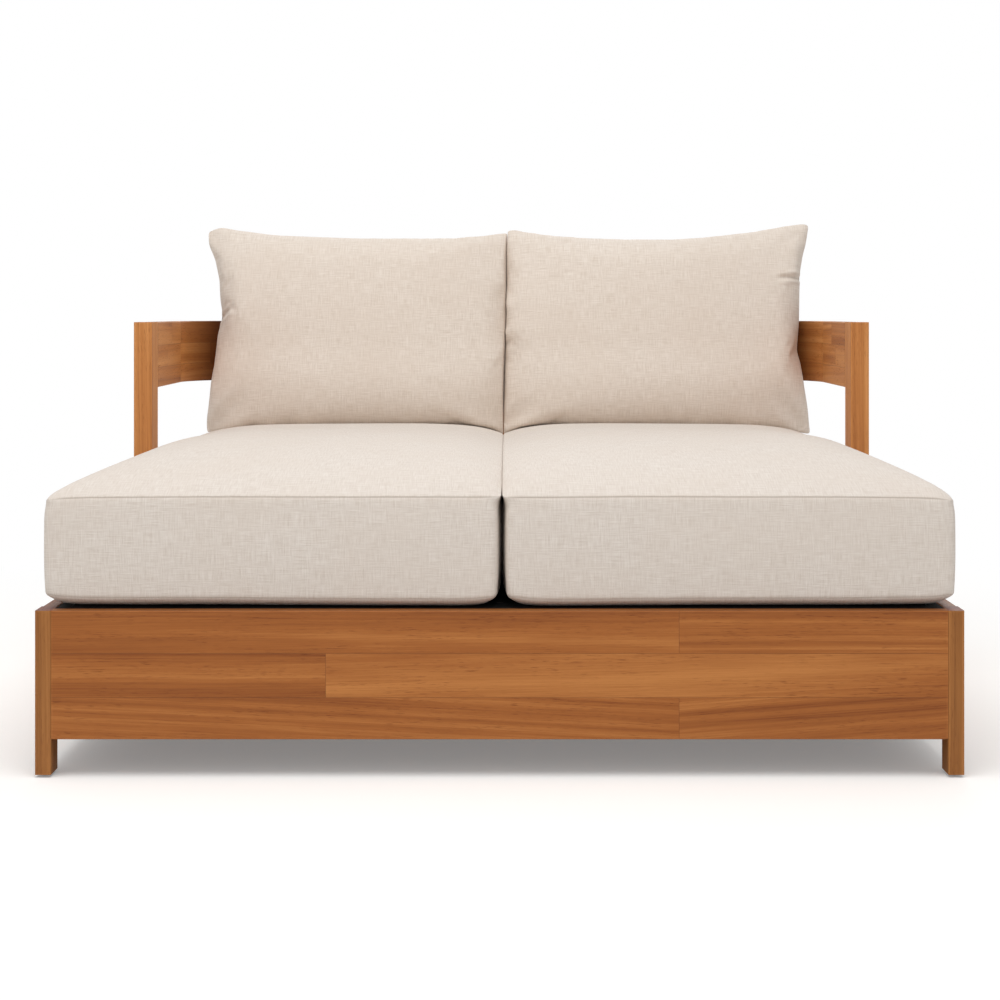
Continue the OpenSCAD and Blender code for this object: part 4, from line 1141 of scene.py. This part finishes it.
def crown_height(x, y):
    """The height of the seat at a place, felt with a ray from above."""
    side = -1 if x < SEAT_LINE else 1
    off = min(max(side * (x - SEAT_LINE), NEAREST), FURTHEST)
    at = Vector((SEAT_LINE + side * off, min(y, REARMOST), 0.8))
    hit = crowns[side].ray_cast(at, Vector((0, 0, -1)))[0]
    return hit.z if hit else 0.0


print("The seat's crown is", round(crown_height(0.3, 0.0) * 1000, 1), "mm high at its middle")

# %% The rims of the back pillows
# Shares along an edge and how far it draws in there, in mm; the left pillow comes first
TOP_LINES = ([(0, 8), (0.045, -3), (0.1, 5), (0.24, 17), (0.5, 24), (0.85, 23), (0.93, 16),
              (1, 9)],
             [(0, 5), (0.03, 3), (0.09, 13), (0.23, 22), (0.39, 26), (0.54, 26), (0.64, 22),
              (0.81, 9), (0.91, -4), (0.98, -11), (1, -8)])
SIDE_LINES = ([(0, 1), (0.06, -1), (0.14, 3), (0.24, 6), (0.34, 14), (0.49, 20), (0.55, 27),
               (0.6, 29), (0.66, 24), (0.76, 21), (0.86, 10), (0.93, -4), (1, -7)],
              [(0, -5), (0.03, -3), (0.13, 1), (0.32, 13), (0.4, 22), (0.53, 16), (0.76, 12),
               (0.84, 5), (0.92, -5), (1, -12)])
# Where the pillows meet, from the bottom up, in mm from the middle
MEETING = [(0, 3.3), (0.05, 3.3), (0.12, 4.6), (0.2, 5), (0.36, 7), (0.5, 10), (0.62, 11.5),
           (0.74, 10.5), (0.86, 10), (1, 12)]
PILLOW_H, LEAN, PILLOW_BASE = 0.446, math.radians(8), seat_low.z + 0.4287
# How far the lower corners reach down, and how wide: the inner one, then the outer one
LOWER_EARS = (0.011, 0.045), (0.004, 0.05)
# Steps along each side of the rim, and how far in front of the rail the pillow stands, how
# low its underside may come, and how deep it presses into the crown
RIM_STEPS, STANDS_AT, LOWEST, SUNK = 399, 0.094, 0.466, 0.005


def line_at(line, t):
    stops = np.array(line, float)
    return np.interp(t, stops[:, 0], stops[:, 1]) / 1000


def pillow_rim(side):
    """The rim of a pillow, as four lines from corner to corner, across and up."""
    box_low, box_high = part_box(("left" if side < 0 else "right") + "_back_cushion")
    t = np.linspace(0, 1, RIM_STEPS + 1)
    row = 0 if side < 0 else 1
    out_x = (box_low.x + line_at(SIDE_LINES[0], t)) if side < 0 else (
        box_high.x - line_at(SIDE_LINES[1], t))
    in_x = line_at(MEETING, t)
    left, right = (out_x, in_x) if side < 0 else (in_x, out_x)
    top = PILLOW_H / 2 - line_at(TOP_LINES[row], t)
    across = left[0] + t * (right[0] - left[0])
    under = [crown_height(x, rail_low.y - STANDS_AT) for x in across]
    bottom = (np.maximum(under, LOWEST) - PILLOW_BASE - SUNK) / math.cos(LEAN)
    inner = 1 - t if side < 0 else t
    bottom -= sum(deep * bell(share, wide)
                  for share, (deep, wide) in zip((inner, 1 - inner), LOWER_EARS))
    lines = [np.stack([across, bottom], 1),
             np.stack([right, bottom[-1] + t * (top[-1] - bottom[-1])], 1),
             np.stack([right[-1] + t * (left[-1] - right[-1]), top[::-1]], 1),
             np.stack([left[::-1], top[0] + t * (bottom[0] - top[0])], 1)]
    whole = np.concatenate([line[:-1] for line in lines])
    for _ in range(2):
        whole = sum(np.roll(whole, k, axis=0) for k in range(-4, 5)) / 9
    whole = np.vstack([whole, whole[:1]])
    return [whole[k * RIM_STEPS:(k + 1) * RIM_STEPS + 1] for k in range(4)]


print("The left pillow's rim is", round(sum(measured(line)[-1] for line in pillow_rim(-1)), 2),
      "m long")

# %% Swell a pillow and bring it onto its rim
WIDE, TALL, PILLOW_T = 96, 68, 0.165


def swell_pillow(side):
    """Front and back grids of a pillow that lies flat, thickness along y."""
    bottom, right, top, left = (even(line, cells) for line, cells in
                                zip(pillow_rim(side), (WIDE, TALL, WIDE, TALL)))
    drawn = fill_grid(bottom, top[::-1], left[::-1], right)
    u = np.linspace(-1, 1, WIDE + 1)[None]
    v = np.linspace(-1, 1, TALL + 1)[:, None]
    thick, fullness, grow = ((0.1, 0.5, 1.055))
    half = thick / 2 * np.clip((1 - u * u) * (1 - v * v), 0, None) ** fullness
    centre = drawn.mean(axis=(0, 1))
    flat = (drawn - centre) * grow + centre
    front = np.dstack([flat[..., 0], -half, flat[..., 1]])
    back = front * (1, -1, 1)
    points, (front_at, inner_at) = laid_out(front, back[1:-1, 1:-1])
    back_at = front_at.copy()
    back_at[1:-1, 1:-1] = inner_at
    points[:, 1] += np.random.default_rng(60 + side).normal(0, 0.0001, len(points))
    blank = np.zeros((*front_at.shape, 2))
    cover = sew("cover", points, [(front_at, blank), (back_at[:, ::-1], blank)])
    points = inflate(cover, [], 13, 4.0, 20.0, 1.0, 0.2)
    bpy.data.objects.remove(cover)
    front, back = points[front_at], points[back_at]
    gap = drawn - front[..., ::2]
    gap = fill_grid(gap[0], gap[-1], gap[:, 0], gap[:, -1])
    deep = (back[..., 1] - front[..., 1]).max()
    print("A pillow swells to", round(deep * 1000), "mm before it is fitted")
    for face in (front, back):
        face[..., ::2] += gap
        face[..., 1] *= PILLOW_T / deep
    return front, back


print("Cells of a pillow's face:", WIDE, "by", TALL)

# %% [markdown]
# A pillow leans on the rail and stands on the seat. So it is flat where it touches the rail,
# and its lower edge follows the crown under it. The crown's height is felt with rays from
# above, on the finished seat cushions.

# %% Rest a pillow on the seat and the rail
# How deep a pillow presses into the rail, how softly it meets the rail and the seat, and how
# far it stays off the seat
PRESSED_IN, RAIL_SOFT, SEAT_SOFT, OFF_SEAT = 0.0006, 0.008, 0.006, 0.0009
# How high over the rail a pillow starts to lean over it, how softly, and how deep it stays
FOLD_START, FOLD_SOFT, FOLD_DEEP = 0.033, 0.02, 0.003


def rail_face(x):
    """The rail's inner face at a place along it, bends and all."""
    out = np.clip(np.abs(x) - bend_middle[0], 0, bend_radius)
    return bend_middle[1] + np.sqrt(bend_radius ** 2 - out ** 2)


def stand(points):
    """Leans a pillow's points back, and eases them off the rail and the seat."""
    x, deep, up = points[..., 0], points[..., 1], points[..., 2]
    y = rail_low.y - 0.063 + deep * math.cos(LEAN) + up * math.sin(LEAN)
    z = PILLOW_BASE + up * math.cos(LEAN) - deep * math.sin(LEAN)
    over_rail = press(z - rail_high.z - FOLD_START, 0.0, FOLD_SOFT) - FOLD_DEEP
    face = rail_face(x) - PRESSED_IN + np.maximum(over_rail, 0)
    y = np.minimum(-press(-y, -face, RAIL_SOFT), face)
    floor_z = np.zeros_like(z)
    for at in np.argwhere(z < 0.53)[:, 0]:
        floor_z[at] = crown_height(x[at], y[at]) + OFF_SEAT
    z = np.where(floor_z > 0, np.maximum(press(z, floor_z, SEAT_SOFT), floor_z), z)
    return np.stack([x, y, z], -1)


print("A pillow leans back by", round(math.degrees(LEAN)), "degrees")


# %% Finish the back pillows
# Each crease: where it starts and ends on the pillow, across and up, then width and depth
CREASES = {-1: [((-0.618, 0.019), (-0.582, 0.038), 0.005, 0.011),
                ((-0.62, -0.215), (-0.55, -0.15), 0.016, 0.007),
                ((-0.63, 0.2), (-0.585, 0.165), 0.012, 0.004)],
           1: [((0.645, 0.108), (0.595, 0.102), 0.005, 0.011),
               ((0.64, -0.205), (0.585, -0.14), 0.016, 0.007),
               ((0.64, 0.2), (0.59, 0.17), 0.012, 0.003),
               ((0.025, -0.2), (0.075, -0.165), 0.014, 0.004)]}
MEET_GAP, MEET_DEEP, MEET_SLANT = 0.0003, 0.0032, 0.2
# How far the lower part of the front swells forward, and how high that part is
BELLY, BELLY_HIGH = 0.0045, 0.19


def crease(face, start, end, width, depth):
    """Dents the front along a short line, with a soft ridge beside it."""
    start, end = np.array(start), np.array(end)
    run = np.linalg.norm(end - start)
    along = (end - start) / run
    rel = face[..., ::2] - start
    on = rel @ along
    off = rel @ np.array([-along[1], along[0]])
    fade = np.clip(1 - np.clip(on / run, -0.3, 2), 0, 1) ** 0.7 * (on > -0.02)
    dent = bell(off, width) - 0.55 * bell(np.abs(off) - 1.9 * width, width)
    face[..., 1] += depth * fade * dent * smooth_step(-face[..., 1] / 0.004)


def squeeze(points, side):
    """Flattens a pillow where its neighbour presses on it, along the wavy line between them.

    Low down, each pillow stays over its own seat, so that it can slide past the other one.
    """
    up = (points[:, 2] + PILLOW_H / 2) / PILLOW_H
    slant = MEET_SLANT * smooth_step((up - 0.05) / 0.1)
    meeting = line_at(MEETING, up) + slant * np.clip(points[:, 1], -0.02, 0.02)
    off = side * (points[:, 0] - meeting)
    pressed = MEET_GAP + press(off - MEET_DEEP, 0.0, 0.0016)
    off += (pressed - off) * bell(off, 0.06)
    points[:, 0] = meeting + side * np.maximum(off, MEET_GAP)


def make_pillow(side):
    name = ("left" if side < 0 else "right") + "_back_pillow"
    front, back = swell_pillow(side)
    rim = edge_of(front).copy()
    length = measured(rim)
    roll = 0.0005 + 0.0004 * waves(length, 31 + side, 0.04)[:, None]
    sunk, roll_front, roll_back = groove(rim, inside_of(front), inside_of(back), 0.0025, 0.0018,
                                         roll)
    set_edge(front, roll_front)
    set_edge(back, roll_back)
    shift = np.array([1.9 + side, 5.2 - side])
    front_map, back_map = front[..., ::2] + shift, back[..., ::2] - shift
    rim_map = rim[:, ::2]
    points, (front_at, back_at, rim_at) = laid_out(front, back, sunk)
    patches = [(front_at, front_map), (back_at[:, ::-1], back_map[:, ::-1]),
               (strip(rim_at, edge_of(front_at)), strip(rim_map + shift, edge_of(front_map))),
               (strip(edge_of(back_at), rim_at), strip(edge_of(back_map), rim_map - shift))]
    # The rim carries painted shade, a dark line for its groove
    piece = sew(name, points, patches, [(rim_at, 0.7)])
    piece.data.materials.append(pillow_linen_painted_paler)
    round_off(piece)
    points = places_of(piece)
    for line in CREASES[side]:
        crease(points, *line)
    squeeze(points, side)
    low = np.clip((points[:, 2] + PILLOW_H / 2) / BELLY_HIGH, 0, 1)
    points[:, 1] -= BELLY * (1 - np.cos(math.tau * low)) * smooth_step(-points[:, 1] / 0.02)
    piece.data.vertices.foreach_set("co", stand(points).reshape(-1))
    piece.data.update()
    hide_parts(name.replace("pillow", "cushion"))
    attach(piece, ("left" if side < 0 else "right") + "_pillow")
    return piece


pillows = {side: make_pillow(side) for side in (-1, 1)}
for piece in pillows.values():
    tell(piece)

# %% [markdown]
# ## Zips, stitches and staples
#
# Each seat cover closes with a zip on its rear side: two woven tapes, a chain of teeth, and a
# slider with a pull. Teeth, stitches and staples are one small shape repeated in a row. A
# Geometry Nodes tree does that: it lays out points, shifts every other one, puts the shape on
# each, maybe turned a little at random, and makes the result real.

# %% A tree that repeats a small shape in a row
def make_row_tree():
    tree = bpy.data.node_groups.new("row_of_shapes", "GeometryNodeTree")
    face = tree.interface
    face.new_socket(name="Geometry", in_out="OUTPUT", socket_type="NodeSocketGeometry")
    for label, kind in (("Geometry", "NodeSocketGeometry"), ("Count", "NodeSocketInt"),
                        ("Start", VECTOR), ("Step", VECTOR), ("Alternate", VECTOR),
                        ("Sway", VECTOR), ("Seed", "NodeSocketInt"),
                        ("Finish", "NodeSocketMaterial")):
        face.new_socket(name=label, in_out="INPUT", socket_type=kind)
    given = tree.nodes.new("NodeGroupInput").outputs
    line = tree.nodes.new("GeometryNodeMeshLine")
    line.mode = "OFFSET"
    wire(tree, line, Count=given["Count"], Start_Location=given["Start"], Offset=given["Step"])
    odd = calc(tree, "MODULO", tree.nodes.new("GeometryNodeInputIndex").outputs[0], 2.0)
    moved = wire(tree, tree.nodes.new("GeometryNodeSetPosition"), Geometry=line.outputs[0],
                 Offset=vcalc(tree, "SCALE", given["Alternate"], None, None, odd))
    sway = tree.nodes.new("FunctionNodeRandomValue")
    sway.data_type = "FLOAT_VECTOR"
    tree.links.new(vcalc(tree, "SCALE", given["Sway"], None, None, -1.0), sway.inputs[0])
    tree.links.new(given["Sway"], sway.inputs[1])
    wire(tree, sway, Seed=given["Seed"])
    placed = wire(tree, tree.nodes.new("GeometryNodeInstanceOnPoints"), Points=moved.outputs[0],
                  Instance=given["Geometry"], Rotation=sway.outputs[0])
    real = lay(tree, "GeometryNodeRealizeInstances", placed.outputs[0])
    dressed = wire(tree, tree.nodes.new("GeometryNodeSetMaterial"), Geometry=real,
                   Material=given["Finish"])
    tree.links.new(dressed.outputs[0], tree.nodes.new("NodeGroupOutput").inputs[0])
    return tree


row_tree = make_row_tree()
ROW_INPUTS = {item.name: item.identifier for item in row_tree.interface.items_tree
              if item.in_out == "INPUT"}
print("The row tree takes", ", ".join(ROW_INPUTS))

# %% Keep the rows of one body as one plain mesh
def as_mesh(name, shape):
    """Turns a shape under work into a mesh."""
    mesh = bpy.data.meshes.new(name)
    shape.to_mesh(mesh)
    shape.free()
    return mesh


def repeat(name, shape, rows, finish, body, sway=(0.0, 0.0, 0.0)):
    """Each row is a start, a step, a count and a shift for every other shape."""
    whole = bmesh.new()
    for number, (start, step, count, alternate) in enumerate(rows):
        row = put("row", shape)
        maker = row.modifiers.new("row", "NODES")
        maker.node_group = row_tree
        for label, value in (("Count", count), ("Start", start), ("Step", step), ("Sway", sway),
                             ("Alternate", alternate), ("Seed", number), ("Finish", finish)):
            maker[ROW_INPUTS[label]] = value
        graph = bpy.context.evaluated_depsgraph_get()
        whole.from_mesh(bpy.data.meshes.new_from_object(row.evaluated_get(graph)))
        bpy.data.objects.remove(row)
    mesh = as_mesh(name, whole)
    mesh.materials.clear()
    mesh.materials.append(finish)
    piece = put(name, mesh)
    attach(piece, body)


def small_shape(name, build, bevel=0.0, smooth=True):
    """A small mesh made by a function, with its edges eased."""
    shape = bmesh.new()
    build(shape)
    if bevel:
        bmesh.ops.bevel(shape, geom=shape.edges[:], offset=bevel, segments=1, affect="EDGES")
    bmesh.ops.recalc_face_normals(shape, faces=shape.faces[:])
    mesh = as_mesh(name, shape)
    if smooth:
        mesh.shade_smooth()
    return mesh


def block(shape, low, high):
    """A block between two corners."""
    for vert in bmesh.ops.create_cube(shape, size=1.0)["verts"]:
        vert.co = Vector([(a + b) / 2 + c * (b - a) for a, b, c in zip(low, high, vert.co)])


def rope(shape, path, radius, sides=6):
    """A thin round line along a few points, closed at both ends."""
    rings = []
    path = [Vector(p) for p in path]
    for k, at in enumerate(path):
        ahead = (path[min(k + 1, len(path) - 1)] - path[max(k - 1, 0)]).normalized()
        aside = ahead.orthogonal().normalized()
        over = ahead.cross(aside)
        thin = radius * (0.55 if k in (0, len(path) - 1) else 1.0)
        rings.append([shape.verts.new(at + thin * (aside * math.cos(a) + over * math.sin(a)))
                      for a in np.linspace(0, 2 * math.pi, sides + 1)[:-1]])
    for one, two in zip(rings, rings[1:]):
        for k in range(sides):
            shape.faces.new((one[k], one[(k + 1) % sides], two[(k + 1) % sides], two[k]))
    shape.faces.new(rings[0][::-1])
    shape.faces.new(rings[-1])


stitch_x = small_shape("stitch", lambda s: rope(
    s, [(-0.0017, -0.0003, 0), (-0.0009, 0.0003, 0), (0.0009, 0.0003, 0), (0.0017, -0.0003, 0)],
    0.00032))
print("A stitch has", len(stitch_x.polygons), "faces")

# %% Staples hold the deck cloth
def staple_shape(shape, along_x):
    path = [(-0.005, 0, -0.0012), (-0.005, 0, 0.0), (0.005, 0, 0.0), (0.005, 0, -0.0012)]
    rope(shape, path if along_x else [(y, x, z) for x, y, z in path], 0.00045, 4)


staple_steel = flecked_finish("staple_steel", ("#8b8c8e", "#b2b3b4"), 300, (0.3, 0.5),
                              0.00004, Metallic=1.0)
staple_along = small_shape("staple_along", lambda s: staple_shape(s, False))
staple_across = small_shape("staple_across", lambda s: staple_shape(s, True))
slat_ys = [(low.y + high.y) / 2 for low, high in slats]
slat_step = (slat_ys[-1] - slat_ys[0]) / (len(slat_ys) - 1)
staple_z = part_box("deck_cloth")[0].z + 0.0016
still = (0.0, 0.0, 0.0)
end_rows = [((side * 0.679, slat_ys[0] + off, staple_z), (0, slat_step, 0), len(slats), still)
            for side in (-1, 1) for off in (-0.018, 0.018)]
repeat("end_staples", staple_along, end_rows, staple_steel, "frame",
       (0.0, 0.0, 0.12))
edge_rows = [((-0.6, y, staple_z), (0.1, 0, 0), 13, still) for y in (slat_ys[0], slat_ys[-1])]
repeat("edge_staples", staple_across, edge_rows, staple_steel, "frame",
       (0.0, 0.0, 0.12))
print("Staples:", sum(row[2] for row in end_rows + edge_rows))

# %% [markdown]
# A zip's tape is woven and a little wavy, and it is topstitched to the cover along both of
# its edges. The teeth of the two tapes lock in turn, so every other tooth comes from below.
# The slider has a shield-shaped body, a bridge, and a pull with a slot.

# %% Tapes, teeth and topstitching
tape_finish = woven_finish("tape_weave", ("#c9bdae", "#d9cfc2"), 0.0011, (0.7, 0.9), 0.0001)
tooth_finish = flecked_finish("zip_teeth", ("#b5aa9c", "#cabfb2"), 500, (0.35, 0.55),
                              0.00003, Specular_IOR_Level=0.4)
thread_finish = flecked_finish("zip_thread", ("#cfc4b6", "#e3dacd"), 1500, (0.7, 0.9),
                               0.00003, Specular_IOR_Level=0.2)
tooth = small_shape("tooth", lambda s: block(s, (-0.00058, 0, -0.0017),
                                             (0.00058, 0.0017, 0.0017)), 0.0003)
# Heights of the tape's rows over the middle, the pitch of the teeth and of the stitches, and
# how far the stitches lie from the middle
TAPE_ROWS, TOOTH, STITCH, STITCH_UP = (0.0006, 0.005, 0.0095, 0.0138), 0.0015, 0.0042, 0.0112


def make_zip(side):
    name = "left" if side < 0 else "right"
    low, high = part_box(f"{name}_seat_zip")
    middle_z = (low.z + high.z) / 2
    across = np.linspace(low.x, high.x, 90)
    grids = []
    for half in (-1, 1):
        wave = 0.00018 * waves(across, 71 + half, 0.05)
        grids.append(np.array([np.stack([across, low.y + 0.0008 + wave * (rise > 0.006),
                                         middle_z + half * rise + 0 * across], 1)
                               for rise in TAPE_ROWS]))
    points, (under_at, over_at) = laid_out(*grids)
    tape = sew(f"{name}_zip_tape", points, [(under_at, grids[0][..., ::2]),
                                            (over_at[:, ::-1], grids[1][:, ::-1, ::2])])
    tape.data.materials.append(tape_finish)
    thicken(tape, 0.0009, 0)
    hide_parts(f"{name}_seat_zip")
    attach(tape, f"{name}_seat")
    teeth = [((low.x + 0.006, low.y + 0.0010, middle_z - 0.0012), (TOOTH, 0, 0),
              int((high.x - low.x - 0.012) / TOOTH), (0, 0, 0.0024))]
    repeat(f"{name}_zip_teeth", tooth, teeth, tooth_finish, f"{name}_seat")
    stitch_rows = [((low.x + 0.003, low.y + 0.0013, middle_z + rise), (STITCH, 0, 0),
                    int((high.x - low.x - 0.006) / STITCH), still)
                   for rise in (-STITCH_UP, STITCH_UP)]
    repeat(f"{name}_zip_stitches", stitch_x, stitch_rows, thread_finish, f"{name}_seat",
           (0.0, 0.06, 0.0))
    return tape


for side in (-1, 1):
    tape = make_zip(side)
    print(tape.name, "has", len(tape.data.polygons), "faces")

# %% Sliders with their pulls
slider_finish = flecked_finish("zip_slider", ("#8d8c8a", "#b5b3b0"), 180, (0.22, 0.42),
                               0.00004, Metallic=1.0)


def plate(shape, outline, y_low, y_high, hole=()):
    """A plate in the plane of the zip, with an outline in x and z and maybe a slot."""
    edges = []
    for loop in (outline, hole) if hole else (outline,):
        verts = [shape.verts.new((x, y_low, z)) for x, z in loop]
        edges += [shape.edges.new((verts[k], verts[(k + 1) % len(verts)]))
                  for k in range(len(verts))]
    made = bmesh.ops.triangle_fill(shape, use_beauty=True, edges=edges)["geom"]
    faces = [g for g in made if isinstance(g, bmesh.types.BMFace)]
    pushed = bmesh.ops.extrude_face_region(shape, geom=faces)["geom"]
    for vert in pushed:
        if isinstance(vert, bmesh.types.BMVert):
            vert.co.y = y_high


def rounded(x0, z0, x1, z1, r, steps=5):
    """A rounded rectangle in x and z."""
    corners = [(x1 - r, z0 + r, 270), (x1 - r, z1 - r, 0), (x0 + r, z1 - r, 90),
               (x0 + r, z0 + r, 180)]
    return [(x + r * math.cos(math.radians(a)), z + r * math.sin(math.radians(a)))
            for x, z, turn in corners for a in np.linspace(turn, turn + 90, steps)]


def make_slider(side):
    name = "left" if side < 0 else "right"
    low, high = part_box(f"{name}_zip_slider")
    zip_low, zip_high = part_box(f"{name}_seat_zip")
    x, z, y = (low.x + high.x) / 2, (zip_low.z + zip_high.z) / 2, low.y

    def build(shape):
        shield = [(side * px, pz) for px, pz in
                  ((-6.8, -3.4), (-6.8, 3.4), (-2, 4.3), (2.6, 5.8), (5.4, 5.6), (6.8, 3.6),
                   (6.0, 1.2), (5.4, 0), (6.0, -1.2), (6.8, -3.6), (5.4, -5.6), (2.6, -5.8),
                   (-2, -4.3))]
        place = [(x + px / 1000, z + pz / 1000) for px, pz in shield]
        plate(shape, place, y + 0.0024, y + 0.0036)
        for half in (-1, 1):
            wing = [(x + side * px / 1000, z + half * pz / 1000) for px, pz in
                    ((-6.8, 3.4), (-2, 4.3), (2.6, 5.8), (5.0, 5.6), (5.0, 4.9), (2.6, 5.0),
                     (-2, 3.6), (-6.8, 3.35))]
            plate(shape, wing, y + 0.0002, y + 0.0026)

    body = small_shape(f"{name}_slider_body", build, 0.00025, smooth=False)
    whole = bmesh.new()
    whole.from_mesh(body)
    bridge = [(x + px / 1000, y + py / 1000, z) for px, py in
              ((-4, 3.2), (-3.2, 4.8), (-1, 5.4), (1.4, 5.4), (3.4, 4.8), (4, 3.2))]
    rope(whole, bridge, 0.00085, 8)
    hang = bmesh.new()
    plate(hang, rounded(-0.0034, -0.0225, 0.0034, 0.0025, 0.0026), 0, 0.0012,
          rounded(-0.0018, -0.0015, 0.0018, 0.0012, 0.0008))
    plate(hang, rounded(-0.0022, -0.0205, 0.0022, -0.0065, 0.0016), -0.0003, 0.0015)
    bmesh.ops.transform(hang, matrix=Matrix.Translation((x, y + 0.0042, z)) @ Matrix.Rotation(
        math.radians(3), 4, "X"), verts=hang.verts[:])
    bmesh.ops.recalc_face_normals(hang, faces=hang.faces[:])
    whole.from_mesh(as_mesh("pull", hang))
    mesh = as_mesh(f"{name}_slider", whole)
    mesh.materials.append(slider_finish)
    piece = put(f"{name}_slider", mesh)
    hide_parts(f"{name}_zip_slider")
    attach(piece, f"{name}_slider")
    return piece


for side in (-1, 1):
    piece = make_slider(side)
    print(piece.name, "has", len(piece.data.polygons), "faces")
